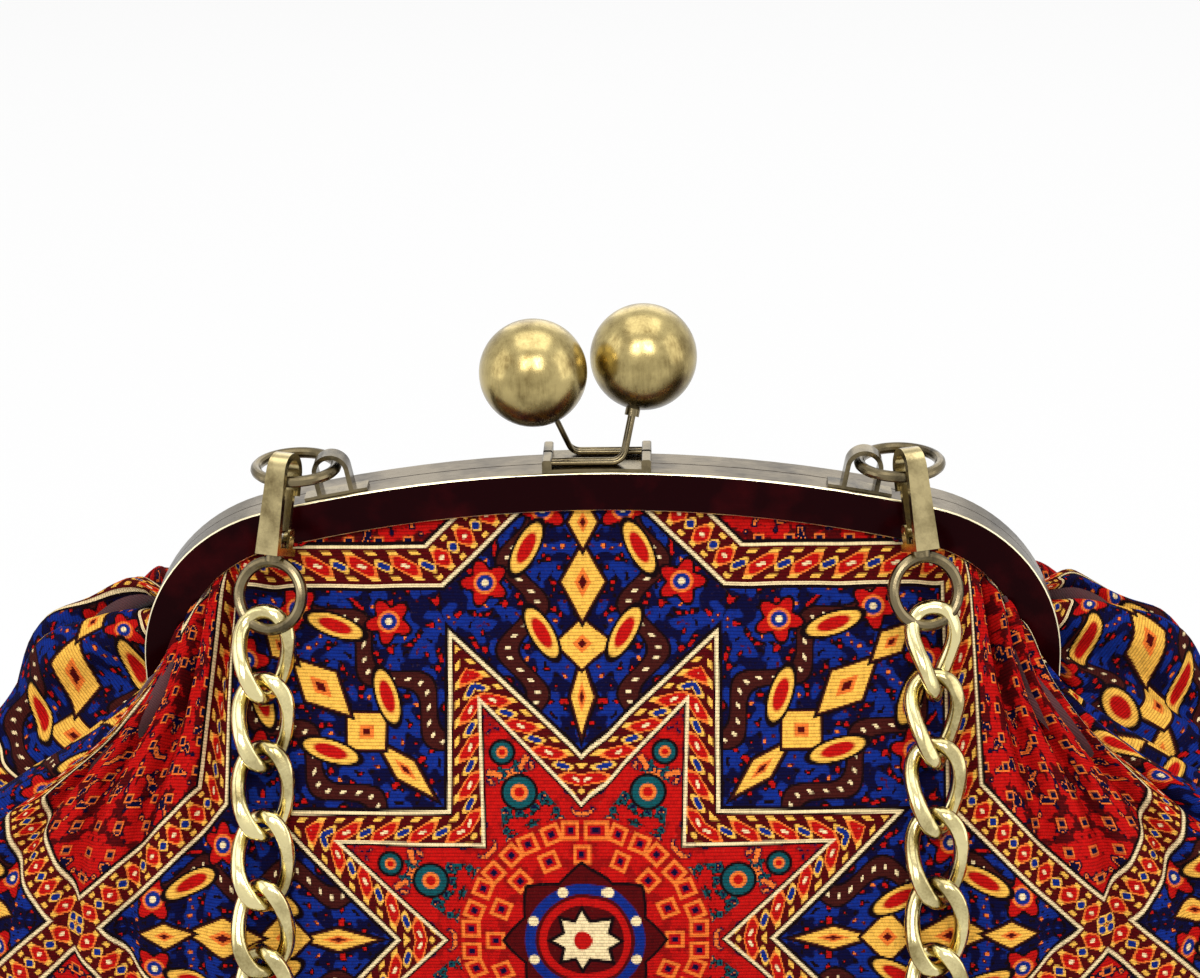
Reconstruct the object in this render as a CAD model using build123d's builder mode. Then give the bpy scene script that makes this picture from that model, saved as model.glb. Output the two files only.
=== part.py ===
"""Carpet bag on an arched kiss-lock frame, with a curb chain strap on two snap hooks.

Millimetres, +Z up, front towards -Y. The origin is the middle of the flat base.
"""
from math import asin, atan2, copysign, cos, degrees, pi, radians, sin, sqrt
import os

from build123d import *

os.makedirs("parts", exist_ok=True)

# Frame, measured on the closed mouth
frame_top = 270.0
frame_half_width = 109.0
crown_radius = 330.0
corner_radius = 40.0
hinge_drop = 58.0
half_thickness = 6.6
split_gap = 0.3
face_depth = 9.6
crown_wall = 1.2
side_wall = 1.0
rolled_edge = 0.6

# Hinge at the two lower ends of the frame
ear_thickness = 1.4
ear_radius = 4.0
ear_gap = 0.3
ear_overlap = 7.0
foot_clearance = 1.0
pin_radius = 1.5
pin_head_radius = 2.8
pin_head_thickness = 1.2
pin_head_gap = 0.2
pin_head_chamfer = 0.4
fixed_clearance = 0.02
running_clearance = 0.06

# Clasp
ball_radius = 12.4
ball_pass_gap = 0.3
ball_centre_shift = -1.5
ball_cross = 5.2
ball_height = 24.2
rod_radius = 0.65
rod_spacing = 1.5
rod_bend_radius = 3.0
bar_outer_end = 12.2
bar_inner_end = 6.0
saddle_half_length = 12.6
saddle_thickness = 0.8
saddle_margin = 0.7
seat_gap = 0.05
clip_length = 2.2
clip_height = 2.0
clip_gap = 0.1
clip_rounding = 0.5
stub_radius = 1.7
stub_depth = 4.0
stub_collar = 1.6

# Lugs and rings
lug_position = 60.8
lug_width = 8.7
lug_height = 10.2
lug_strap = 1.1
lug_depth = 4.6
lug_foot_length = 15.0
lug_foot_thickness = 0.8
ring_radius = 9.3
ring_wire = 1.3
ring_height = 0.8
ring_flats = 12

# Snap hooks, measured from the ring wire that each one holds
hook_position = 72.5
hook_yaw = 18.0
hook_tilt = 23.0
hook_bar = 1.6
hook_loop_front = 1.8
hook_loop_back = 4.6
hook_bend_rise = 2.0
hook_tip_drop = 3.0
hook_bottom = 17.0
hook_base_height = 1.8
hook_top_width = 4.4
hook_bottom_width = 5.6
cheek_thickness = 0.6
cheek_height = 5.0
cheek_root = 0.5
cheek_rounding = 1.0
gate_thickness = 1.2
gate_gap = 0.1
gate_top = 1.8
gate_pivot_drop = 12.8
gate_bevel = 0.4
gate_barrel_radius = 1.3
gate_pin_radius = 0.6
gate_half_width = 1.9
spring_half_width = 0.9
spring_radius = 1.15
swivel_radius = 1.2
swivel_head_radius = 1.9
swivel_head_height = 0.8
swivel_gap = 0.15
eye_radius = 7.85
eye_wire = 1.4
eye_neck_radius = 2.2

# Curb chain
link_wire = 1.85
link_half_width = 5.65
link_pitch = 15.7
link_play = 0.6
link_twist_rise = 2.5
link_chords = 6
link_flats = 8
chain_floor_gap = 0.15
chain_bulge_front = 64.9
chain_turn_radius = 60.0
chain_floor_front = 171.0
chain_floor_bend = 42.0
chain_upper_bend = 60.0
chain_shoulder_back = 12.3
chain_shoulder_drop = 90.0
chain_belly_height = 118.0
first_link_turns = (44.0, 25.0)
turned_links = 4
first_link_slack = 0.8

# Belly of the fabric's outer shell, as (height, half width, half depth)
belly_sections = (
    (0.0, 166.0, 50.0),
    (10.0, 173.0, 55.5),
    (60.0, 179.0, 60.8),
    (120.0, 181.0, 60.8),
)
# Shoulders, as (drop below the frame's top, reach beyond the frame's side, half depth)
shoulder_sections = (
    (110.0, 68.0, 52.8),
    (80.0, 56.0, 42.5),
    (58.0, 36.0, 29.5),
    (38.0, 10.0, 19.0),
    (24.0, -9.0, 12.2),
    (10.0, -64.0, 6.0),
)
shell_squareness = 3.2
shell_corners = 20
cloth = 2.5
cloth_clearance = 0.3
layer_gap = 0.5
lining_thickness = 1.0
lining_drop = 67.0
board_thickness = 2.5
board_inset = 14.0
collar_depth = 2.4
collar_front = 8.0
edge_insert = 5.0
edge_thickness = 1.8

# Places worked out from the sizes above
shell_sections = belly_sections + tuple(
    (frame_top - drop, frame_half_width + reach, depth) for drop, reach, depth in shoulder_sections
)
lining_top = frame_top - lining_drop
hinge_height = frame_top - hinge_drop
foot_height = hinge_height + ear_radius + foot_clearance
crown_centre = frame_top - crown_radius
corner_x = frame_half_width - corner_radius
corner_z = crown_centre + sqrt((crown_radius - corner_radius) ** 2 - corner_x**2)
corner_sweep = degrees(atan2(corner_z - crown_centre, corner_x))
gather_foot = corner_z - collar_depth
half_split = split_gap / 2
half_middle = (half_thickness + half_split) / 2
ball_spacing = 2 * ball_radius + ball_pass_gap
bar_height = frame_top + seat_gap + saddle_thickness + rod_radius + clip_gap
saddle_radius = crown_radius + seat_gap


def crown_z(x, rise=0.0):
    """Height of the frame's top edge at x, or of a line that lies rise above it."""
    return crown_centre + sqrt((crown_radius + rise) ** 2 - x**2)


def export(builder, name):
    builder.part.label = name
    export_step(builder.part, f"parts/{name}.step")


def arch_band(plane, outer, inner, foot):
    """Strip of the arch between two insets from its outer edge, with legs down to foot."""
    with BuildSketch(plane) as band:
        with BuildLine():
            for inset in (outer, inner):
                side = frame_half_width - inset
                CenterArc((0, crown_centre), crown_radius - inset, corner_sweep, 180 - 2 * corner_sweep)
                CenterArc((corner_x, corner_z), corner_radius - inset, 0, corner_sweep)
                CenterArc((-corner_x, corner_z), corner_radius - inset, 180 - corner_sweep, corner_sweep)
                Line((side, corner_z), (side, foot))
                Line((-side, corner_z), (-side, foot))
            Line((frame_half_width - outer, foot), (frame_half_width - inner, foot))
            Line((outer - frame_half_width, foot), (inner - frame_half_width, foot))
        make_face()
    return band.sketch


def ear_sketch(plane, side):
    """Flattened hinge ear: a disc on the pin axis with a strap up into the channel."""
    strap_top = foot_height + ear_overlap
    near = side * half_split
    far = side * half_thickness
    with BuildSketch(plane) as ear:
        with Locations((0, hinge_height)):
            Circle(ear_radius)
        with BuildLine():
            Polyline(
                (side * ear_radius, hinge_height),
                (far, foot_height),
                (far, strap_top),
                (near, strap_top),
                (near, foot_height),
                (-side * ear_radius * 0.6, hinge_height + ear_radius * 0.8),
                (0, hinge_height),
                close=True,
            )
        make_face()
    return ear.sketch


def frame_half(name, side, ear_outer_x, hole_radius):
    """One half of the frame: a channel that opens inwards, with an ear at each end."""
    outer_y = side * half_thickness
    face_plane = Plane.XZ.offset(-outer_y)
    toward_split = side * (half_thickness - half_split)
    channel_plane = Plane.XZ.offset(-(outer_y - side * side_wall))
    channel_width = half_thickness - half_split - 2 * side_wall
    with BuildPart() as half:
        extrude(arch_band(face_plane, 0, face_depth, foot_height), amount=toward_split)
        fillet(half.faces().sort_by(Axis.Y)[0 if side < 0 else -1].edges(), rolled_edge)
        channel = arch_band(channel_plane, crown_wall, face_depth + 1, foot_height - 1)
        extrude(channel, amount=side * channel_width, mode=Mode.SUBTRACT)
        for hand in (-1, 1):
            ear_plane = Plane.YZ.offset(hand * (ear_outer_x - ear_thickness))
            extrude(ear_sketch(ear_plane, side), amount=hand * ear_thickness)
        with BuildSketch(Plane.YZ):
            with Locations((0, hinge_height)):
                Circle(hole_radius)
        extrude(amount=frame_half_width, both=True, mode=Mode.SUBTRACT)
    export(half, name)


back_ear_x = frame_half_width - crown_wall - clip_gap
front_ear_x = back_ear_x - ear_thickness - ear_gap
frame_half("front_frame", -1, front_ear_x, pin_radius + fixed_clearance)
frame_half("back_frame", 1, back_ear_x, pin_radius + running_clearance)

# Rivets that the frame halves turn on
for hand, name in ((-1, "left_hinge_pin"), (1, "right_hinge_pin")):
    inner_end = front_ear_x - ear_thickness - pin_head_gap
    outer_end = back_ear_x + pin_head_gap
    with BuildPart() as pin:
        with BuildSketch(Plane.YZ.offset(hand * (inner_end - pin_head_thickness))):
            with Locations((0, hinge_height)):
                Circle(pin_head_radius)
        extrude(amount=hand * pin_head_thickness)
        with BuildSketch(Plane.YZ.offset(hand * inner_end)):
            with Locations((0, hinge_height)):
                Circle(pin_radius)
        extrude(amount=hand * (outer_end - inner_end))
        with BuildSketch(Plane.YZ.offset(hand * outer_end)):
            with Locations((0, hinge_height)):
                Circle(pin_head_radius)
        extrude(amount=hand * pin_head_thickness)
        chamfer(pin.faces().sort_by(Axis.X)[0 if hand < 0 else -1].edges(), pin_head_chamfer)
    export(pin, name)


def clasp(prefix, side):
    """Saddle plate, pair of rods and ball of one half. The rods lean over the split line."""
    bar_y = side * half_middle
    ball = Vector(
        ball_centre_shift - side * ball_spacing / 2,
        -side * ball_cross,
        frame_top + ball_height,
    )
    bend = Vector(-side * bar_inner_end, bar_y, bar_height)
    rise = (ball - bend).normalized()
    ball_foot = ball - rise * ball_radius
    half_angle = degrees(asin(saddle_half_length / crown_radius))
    saddle_width = half_thickness - half_split - saddle_margin
    slot_width = rod_spacing + 2 * rod_radius + 2 * clip_gap
    with BuildPart() as saddle:
        with BuildSketch(Plane.XZ.offset(-bar_y)):
            with BuildLine():
                for radius in (saddle_radius, saddle_radius + saddle_thickness):
                    CenterArc((0, crown_centre), radius, 90 - half_angle, 2 * half_angle)
                for angle in (90 - half_angle, 90 + half_angle):
                    reach = saddle_radius * cos(radians(angle))
                    PolarLine((reach, crown_z(reach, seat_gap)), saddle_thickness, angle)
            make_face()
        extrude(amount=saddle_width / 2, both=True)
        clip_x = saddle_half_length - clip_length / 2
        clip_base = crown_z(saddle_half_length, saddle_thickness / 2)
        clip_top = bar_height + clip_height - rod_radius
        with BuildSketch(Plane.XY.offset(clip_base)):
            with Locations((-clip_x, bar_y), (clip_x, bar_y)):
                Rectangle(clip_length, saddle_width)
        extrude(amount=clip_top - clip_base)
        with BuildSketch(Plane.YZ.offset(side * clip_x)):
            with Locations((bar_y, bar_height)):
                Rectangle(slot_width, 2 * (rod_radius + clip_gap / 2))
        extrude(amount=clip_length, both=True, mode=Mode.SUBTRACT)
        fillet(saddle.edges().filter_by(Axis.Y).group_by(Axis.Z)[-1], clip_rounding)
    export(saddle, f"{prefix}_saddle")

    with BuildPart() as stem:
        with BuildLine():
            FilletPolyline(
                (side * bar_outer_end, bar_y, bar_height),
                tuple(bend),
                tuple(ball_foot + rise * 0.5),
                radius=rod_bend_radius,
            )
        with BuildSketch(Plane(origin=(side * bar_outer_end, bar_y, bar_height),
                               x_dir=(0, 1, 0), z_dir=(-side, 0, 0))):
            with Locations((-rod_spacing / 2, 0), (rod_spacing / 2, 0)):
                Circle(rod_radius)
        sweep()
        with BuildSketch(Plane(origin=ball_foot - rise * stub_collar, z_dir=rise)):
            Circle(stub_radius)
        extrude(amount=stub_collar + stub_depth)
    export(stem, f"{prefix}_clasp_stem")

    with BuildPart() as knob:
        with Locations(tuple(ball)):
            Sphere(ball_radius)
        with BuildSketch(Plane(origin=ball_foot - rise * stub_collar, z_dir=rise)):
            Circle(stub_radius + fixed_clearance)
        extrude(amount=stub_collar + stub_depth + fixed_clearance, mode=Mode.SUBTRACT)
    export(knob, f"{prefix}_clasp_ball")


clasp("front", -1)
clasp("back", 1)


def wire_ring(plane, radius, wire):
    """Closed ring of round wire, turned about the normal of its plane."""
    section = Plane(origin=plane.origin + plane.x_dir * radius, x_dir=plane.x_dir,
                    z_dir=plane.x_dir.cross(plane.z_dir))
    with BuildSketch(section) as profile:
        RegularPolygon(wire, ring_flats)
    revolve(profile.sketch, axis=Axis(plane.origin, plane.z_dir))


def lug_and_ring(prefix, hand):
    """Strap arch soldered across the front half's top, and the ring that turns in it."""
    lean = asin(hand * lug_position / crown_radius)
    seat = (hand * lug_position, -half_middle, crown_z(lug_position))
    upright = Plane(origin=seat, x_dir=(cos(lean), 0, -sin(lean)), z_dir=(0, -1, 0))
    inner_radius = lug_width / 2 - lug_strap
    shoulder = lug_height - lug_width / 2
    with BuildPart() as lug:
        with BuildSketch(Plane.XZ.offset(half_middle)):
            with BuildLine():
                foot_angle = degrees(asin(lug_foot_length / 2 / crown_radius))
                middle = 90 - degrees(lean)
                for radius in (saddle_radius, saddle_radius + lug_foot_thickness):
                    CenterArc((0, crown_centre), radius, middle - foot_angle, 2 * foot_angle)
                for angle in (middle - foot_angle, middle + foot_angle):
                    reach = saddle_radius * cos(radians(angle))
                    PolarLine((reach, crown_z(reach, seat_gap)), lug_foot_thickness, angle)
            make_face()
        extrude(amount=lug_depth / 2, both=True)
        with BuildSketch(upright):
            with Locations((0, shoulder)):
                Circle(lug_width / 2)
            with Locations((0, (shoulder + lug_foot_thickness / 2) / 2)):
                Rectangle(lug_width, shoulder - lug_foot_thickness / 2)
            with Locations((0, shoulder)):
                Circle(inner_radius, mode=Mode.SUBTRACT)
            with Locations((0, (shoulder + lug_foot_thickness) / 2)):
                Rectangle(2 * inner_radius, shoulder - lug_foot_thickness, mode=Mode.SUBTRACT)
        extrude(amount=lug_depth / 2, both=True)
    export(lug, f"{prefix}_lug")

    ring_centre = (
        hand * (lug_position + ring_radius),
        -half_middle,
        frame_top + ring_height,
    )
    with BuildPart() as ring:
        wire_ring(Plane(ring_centre), ring_radius, ring_wire)
    export(ring, f"{prefix}_ring")
    return Vector(*ring_centre)


def hook_axes(hand):
    """Front, upward and sideways directions of a snap hook that leans out and turns away."""
    level_front = Vector(hand * sin(radians(hook_yaw)), -cos(radians(hook_yaw)), 0)
    upward = Vector(0, 0, 1) * cos(radians(hook_tilt)) - level_front * sin(radians(hook_tilt))
    front = Vector(0, 0, 1) * sin(radians(hook_tilt)) + level_front * cos(radians(hook_tilt))
    return front, upward, front.cross(upward)


def snap_hook(prefix, hand, ring_centre):
    """Hook body, gate, gate pin, gate spring and swivel eye of one end of the strap."""
    front, upward, sideways = hook_axes(hand)
    along = hook_position - lug_position - ring_radius
    held = ring_centre + Vector(hand * along, -sqrt(ring_radius**2 - along**2), 0)
    side_plane = Plane(origin=held, x_dir=front, z_dir=sideways)
    bend_middle = (hook_loop_front - hook_loop_back) / 2
    bend_inner = (hook_loop_front + hook_loop_back) / 2
    bend_outer = bend_inner + hook_bar
    base_top = hook_base_height - hook_bottom
    gate_back = -hook_loop_back + gate_gap
    gate_front = gate_back + gate_thickness
    pivot = (gate_back + gate_thickness / 2, -gate_pivot_drop)
    with BuildPart() as body:
        with BuildSketch(side_plane):
            with BuildLine():
                CenterArc((bend_middle, hook_bend_rise), bend_outer, 0, 180)
                Line((-hook_loop_back - hook_bar, hook_bend_rise),
                     (-hook_loop_back - hook_bar, -hook_tip_drop))
                Line((-hook_loop_back - hook_bar, -hook_tip_drop), (-hook_loop_back, -hook_tip_drop))
                Line((-hook_loop_back, -hook_tip_drop), (-hook_loop_back, hook_bend_rise))
                CenterArc((bend_middle, hook_bend_rise), bend_inner, 0, 180)
                Line((hook_loop_front, hook_bend_rise), (hook_loop_front, base_top))
                Line((hook_loop_front, base_top), (-hook_loop_back - hook_bar, base_top))
                Line((-hook_loop_back - hook_bar, base_top),
                     (-hook_loop_back - hook_bar, -hook_bottom))
                Line((-hook_loop_back - hook_bar, -hook_bottom),
                     (hook_loop_front + hook_bar, -hook_bottom))
                Line((hook_loop_front + hook_bar, -hook_bottom),
                     (hook_loop_front + hook_bar, hook_bend_rise))
            make_face()
        extrude(amount=hook_bottom_width / 2, both=True)
        # The bar narrows from its foot to its bend
        apex = hook_bend_rise + bend_outer
        with BuildSketch(Plane(origin=held, x_dir=-sideways, z_dir=front)):
            with BuildLine():
                Polyline(
                    (-hook_bottom_width / 2, -hook_bottom),
                    (hook_bottom_width / 2, -hook_bottom),
                    (hook_top_width / 2, apex),
                    (-hook_top_width / 2, apex),
                    close=True,
                )
            make_face()
        extrude(amount=2 * bend_outer, both=True, mode=Mode.INTERSECT)
        cheek_x = pivot[0] - gate_barrel_radius
        cheek_reach = 2 * gate_barrel_radius
        cheek_inside = gate_half_width + gate_gap
        for face in (-1, 1):
            cheek_plane = side_plane.offset(face * (cheek_inside + cheek_thickness / 2))
            with BuildSketch(cheek_plane):
                with Locations((cheek_x + cheek_reach / 2, base_top + cheek_height / 2 - cheek_root)):
                    RectangleRounded(cheek_reach, cheek_height, cheek_rounding)
            extrude(amount=cheek_thickness / 2, both=True)
        with BuildSketch(side_plane):
            with Locations(pivot):
                Circle(gate_pin_radius + fixed_clearance)
        extrude(amount=hook_bottom_width, both=True, mode=Mode.SUBTRACT)
        with BuildSketch(Plane(origin=held + front * bend_middle - upward * hook_bottom, z_dir=upward)):
            Circle(swivel_radius + running_clearance)
        extrude(amount=hook_base_height + 0.5, mode=Mode.SUBTRACT)
    export(body, f"{prefix}_hook")

    with BuildPart() as gate:
        with BuildSketch(side_plane):
            with BuildLine():
                Polyline(
                    (gate_back, pivot[1]),
                    (gate_back, -gate_top - gate_bevel),
                    (gate_back + gate_bevel, -gate_top),
                    (gate_front, -gate_top),
                    (gate_front, pivot[1]),
                    close=True,
                )
            make_face()
            with Locations(pivot):
                Circle(gate_barrel_radius)
        extrude(amount=gate_half_width, both=True)
        with BuildSketch(side_plane):
            with Locations(pivot):
                Circle(spring_radius + gate_gap)
                Rectangle(2 * gate_barrel_radius + 0.4, 2 * gate_barrel_radius + 0.2)
        extrude(amount=spring_half_width + gate_gap, both=True, mode=Mode.SUBTRACT)
        with BuildSketch(side_plane):
            with Locations(pivot):
                Circle(gate_pin_radius + running_clearance)
        extrude(amount=hook_bottom_width, both=True, mode=Mode.SUBTRACT)
    export(gate, f"{prefix}_gate")

    with BuildPart() as gate_pin:
        with BuildSketch(side_plane):
            with Locations(pivot):
                Circle(gate_pin_radius)
        extrude(amount=cheek_inside + cheek_thickness + 0.1, both=True)
    export(gate_pin, f"{prefix}_gate_pin")

    with BuildPart() as spring:
        with BuildSketch(side_plane):
            with Locations(pivot):
                Circle(spring_radius)
                Circle(gate_pin_radius + fixed_clearance, mode=Mode.SUBTRACT)
        extrude(amount=spring_half_width, both=True)
    export(spring, f"{prefix}_gate_spring")

    neck_top = held + front * bend_middle - upward * (hook_bottom + swivel_gap)
    eye_centre = neck_top - upward * (eye_radius + eye_wire)
    with BuildPart() as eye:
        wire_ring(Plane(origin=eye_centre, x_dir=sideways, z_dir=front), eye_radius, eye_wire)
        with BuildSketch(Plane(origin=eye_centre + upward * eye_radius, x_dir=sideways, z_dir=upward)):
            Circle(eye_neck_radius)
        extrude(amount=eye_wire)
        with BuildSketch(Plane(origin=neck_top - upward * eye_wire / 2, x_dir=sideways, z_dir=upward)):
            Circle(swivel_radius)
        extrude(amount=hook_base_height + 2 * swivel_gap + eye_wire / 2 + swivel_head_height / 2)
        head_foot = neck_top + upward * (hook_base_height + 2 * swivel_gap)
        with BuildSketch(Plane(origin=head_foot, x_dir=sideways, z_dir=upward)):
            Circle(swivel_head_radius)
        extrude(amount=swivel_head_height)
    export(eye, f"{prefix}_swivel_eye")
    return held, front, upward, eye_centre


left_ring_centre = lug_and_ring("left", -1)
right_ring_centre = lug_and_ring("right", 1)
left_hook = snap_hook("left", -1, left_ring_centre)
right_hook = snap_hook("right", 1, right_ring_centre)

# Curb chain: twisted links that lie in one flat line
link_half_length = (link_pitch + 2 * link_wire + link_play) / 2


def link_point(turn):
    """Point on a link's centre line: an oval whose two sides rise to opposite faces."""
    return Vector(
        link_half_length * sin(turn),
        link_half_width * cos(turn),
        link_twist_rise * sin(2 * turn),
    )


def link_direction(turn):
    return Vector(
        link_half_length * cos(turn),
        -link_half_width * sin(turn),
        2 * link_twist_rise * cos(2 * turn),
    ).normalized()


def half_link(start):
    """Half a link, lofted through eight-sided sections across its wire."""
    with BuildPart() as piece:
        for step in range(link_chords + 1):
            turn = start + pi * step / link_chords
            inward = link_point(turn) * -1
            with BuildSketch(Plane(origin=link_point(turn), x_dir=inward, z_dir=link_direction(turn))):
                RegularPolygon(link_wire, link_flats, rotation=180 / link_flats)
        loft(ruled=True)
    return piece.part


with BuildPart() as link:
    add(half_link(-pi / 2))
    add(half_link(pi / 2))


def chain_route():
    """Down the front of the bag on the right, round on the floor, and up on the left."""
    lying = link_twist_rise + link_wire + chain_floor_gap
    reach = eye_radius - eye_wire - link_wire - first_link_slack + link_half_length
    tops = [data[3] - data[2] * reach for data in (right_hook, left_hook)]
    side = tops[0].X
    bulge = chain_bulge_front
    down = [
        (-bulge + chain_shoulder_back, frame_top - chain_shoulder_drop, chain_upper_bend),
        (-bulge, chain_belly_height, chain_upper_bend),
        (-bulge, lying, chain_floor_bend),
        (-chain_floor_front, lying, chain_turn_radius),
    ]
    right_points = [(side, y, z) for y, z, _ in down]
    left_points = [(-side, y, z) for y, z, _ in reversed(down)]
    bends = [bend for _, _, bend in down]
    with BuildLine() as route:
        FilletPolyline(
            tuple(tops[0]),
            *right_points,
            *left_points,
            tuple(tops[1]),
            radius=bends + bends[::-1],
        )
    return route.wires()[0]


route = chain_route()
link_count = int(route.length / link_pitch) + 2
print("chain length", round(route.length, 1), "links", link_count,
      "pitch", round(route.length / (link_count - 1), 2))


def link_place(index):
    """Where a link sits: along the route, with its flat face towards the bag or the floor."""
    share = index / (link_count - 1)
    place = route.position_at(share)
    tangent = route.tangent_at(share)
    on_floor = place.Z < link_twist_rise + link_wire + 2 * chain_floor_gap
    outward = Vector(0, 0, 1) if on_floor else Vector(0, -1, 1)
    outward = (outward - tangent * outward.dot(tangent)).normalized()
    near_right = max(0, 1 - index / turned_links)
    near_left = max(0, 1 - (link_count - 1 - index) / turned_links)
    turn = first_link_turns[1] * near_left - first_link_turns[0] * near_right
    face = outward.rotate(Axis((0, 0, 0), tangent), turn)
    return Location(Plane(origin=place, x_dir=tangent, z_dir=face))


drop_links = sum(1 for i in range(link_count // 2) if link_place(i).position.Z > chain_floor_bend)
chain_groups = {
    "right_chain_drop": range(0, drop_links),
    "floor_chain": range(drop_links, link_count - drop_links),
    "left_chain_drop": range(link_count - drop_links, link_count),
}
for name, members in chain_groups.items():
    chain = Compound([link.part.solid().moved(link_place(index)) for index in members])
    chain.label = name
    export_step(chain, f"parts/{name}.step")


def shell_size(height):
    """Half width and half depth of the outer shell at a height between two sections."""
    for low, high in zip(shell_sections, shell_sections[1:]):
        if low[0] <= height <= high[0]:
            share = (height - low[0]) / (high[0] - low[0])
            return tuple(a + share * (b - a) for a, b in zip(low[1:], high[1:]))


def oblong(half_width, half_depth):
    """Rounded oblong outline: an oval squared off at its corners."""
    points = []
    for step in range(shell_corners):
        angle = 2 * pi * (step + 0.5) / shell_corners
        across = abs(cos(angle)) ** (2 / shell_squareness)
        along = abs(sin(angle)) ** (2 / shell_squareness)
        points.append((copysign(half_width * across, cos(angle)),
                       copysign(half_depth * along, sin(angle))))
    with BuildLine() as outline:
        Polyline(*points, close=True)
    make_face(outline.edges())


def shell(sections, inset):
    """Body of the bag as a stack of rounded oblongs, drawn in by inset all round."""
    with BuildPart() as solid:
        for height, half_width, half_depth in sections:
            with BuildSketch(Plane.XY.offset(height)):
                oblong(half_width - inset, half_depth - inset)
        loft(ruled=True)
    return solid.part


panel_foot = cloth + layer_gap
outer_shell = shell(shell_sections, 0)
inner_shell = shell(shell_sections, cloth)
frame_slot = half_thickness + cloth_clearance


def gathered_panel(name, side):
    """Front or back cloth: half of the shell, gathered up into its frame channel."""
    depth = shell_sections[2][2] * 2
    channel_middle = side * half_middle
    with BuildPart() as panel:
        add(outer_shell)
        add(inner_shell, mode=Mode.SUBTRACT)
        with Locations((0, side * (depth + layer_gap) / 2, frame_top / 2 + panel_foot)):
            Box(4 * frame_half_width, depth, frame_top, mode=Mode.INTERSECT)
        slot = arch_band(Plane.XZ.offset(-frame_slot), -cloth_clearance, face_depth + cloth_clearance,
                         hinge_height - ear_radius - cloth_clearance)
        extrude(slot, amount=2 * frame_slot, mode=Mode.SUBTRACT)
        collar_foot = collar_depth + face_depth + cloth_clearance
        collar = arch_band(Plane.XZ.offset(-side * collar_front), face_depth + cloth_clearance,
                           collar_foot, gather_foot)
        extrude(collar, amount=side * (collar_front - abs(channel_middle) + edge_thickness / 2))
        edge = arch_band(Plane.XZ.offset(-channel_middle - edge_thickness / 2),
                         face_depth - edge_insert, collar_foot, gather_foot)
        extrude(edge, amount=edge_thickness)
    export(panel, name)


gathered_panel("front_panel", -1)
gathered_panel("back_panel", 1)

with BuildPart() as bottom:
    with BuildSketch():
        oblong(*shell_sections[0][1:])
    extrude(amount=cloth)
export(bottom, "bottom_panel")

board_foot = cloth + layer_gap
with BuildPart() as board:
    with BuildSketch(Plane.XY.offset(board_foot)):
        half_width, half_depth = shell_sections[0][1:]
        oblong(half_width - board_inset, half_depth - board_inset)
    extrude(amount=board_thickness)
export(board, "base_board")

# Lining: the same body drawn in, cut off below the sweep of the back frame half
lining_inset = cloth + layer_gap
lining_foot = board_foot + board_thickness + layer_gap
with BuildPart() as lining:
    add(shell(shell_sections, lining_inset))
    add(shell(shell_sections, lining_inset + lining_thickness), mode=Mode.SUBTRACT)
    with Locations((0, 0, (lining_foot + lining_top) / 2)):
        Box(4 * frame_half_width, 4 * frame_half_width, lining_top - lining_foot, mode=Mode.INTERSECT)
    with BuildSketch(Plane.XY.offset(lining_foot)):
        half_width, half_depth = shell_size(lining_foot)
        oblong(half_width - lining_inset, half_depth - lining_inset)
    extrude(amount=lining_thickness)
export(lining, "lining")
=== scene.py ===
# %% [markdown]
# # Carpet bag on a kiss-lock frame
#
# The metal frame, rings, hooks and clasp come from the CAD model, which is
# loaded first and never moved. The soft bag, the round balls, the fine links of
# the chain and all finishes are made here, in metres, in the same frame:
# +Z up, the front panel towards -Y, and the origin in the middle of the base.

# %% Load the frame
import bmesh
import bpy
import numpy as np
from math import atan2, cos, exp, pi, radians, sin, sqrt
from mathutils import Matrix, Vector, noise


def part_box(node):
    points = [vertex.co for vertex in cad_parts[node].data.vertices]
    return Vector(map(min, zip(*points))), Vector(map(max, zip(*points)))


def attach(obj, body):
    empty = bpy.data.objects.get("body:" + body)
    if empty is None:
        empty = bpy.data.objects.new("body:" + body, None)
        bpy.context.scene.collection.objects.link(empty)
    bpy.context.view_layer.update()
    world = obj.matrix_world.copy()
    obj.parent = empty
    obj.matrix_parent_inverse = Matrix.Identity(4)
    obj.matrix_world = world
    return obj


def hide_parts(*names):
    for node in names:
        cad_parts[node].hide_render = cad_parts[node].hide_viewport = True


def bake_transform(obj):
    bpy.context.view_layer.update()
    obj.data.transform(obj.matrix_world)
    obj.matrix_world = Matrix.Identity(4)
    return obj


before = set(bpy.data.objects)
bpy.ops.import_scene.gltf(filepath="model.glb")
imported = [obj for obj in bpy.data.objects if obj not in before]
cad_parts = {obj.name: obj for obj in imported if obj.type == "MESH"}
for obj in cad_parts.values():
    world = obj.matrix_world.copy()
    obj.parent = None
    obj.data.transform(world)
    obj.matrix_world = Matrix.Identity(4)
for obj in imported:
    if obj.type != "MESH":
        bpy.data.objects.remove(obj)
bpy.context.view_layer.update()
mm = 0.001

# %% [markdown]
# ## Shader expressions
#
# A woven pattern is a long sum of shapes. Written as node after node it can't
# be read, so one small class wraps a socket and turns Python's operators into
# Math nodes. Colours go through Mix nodes, because a Math node turns them grey.

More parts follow.
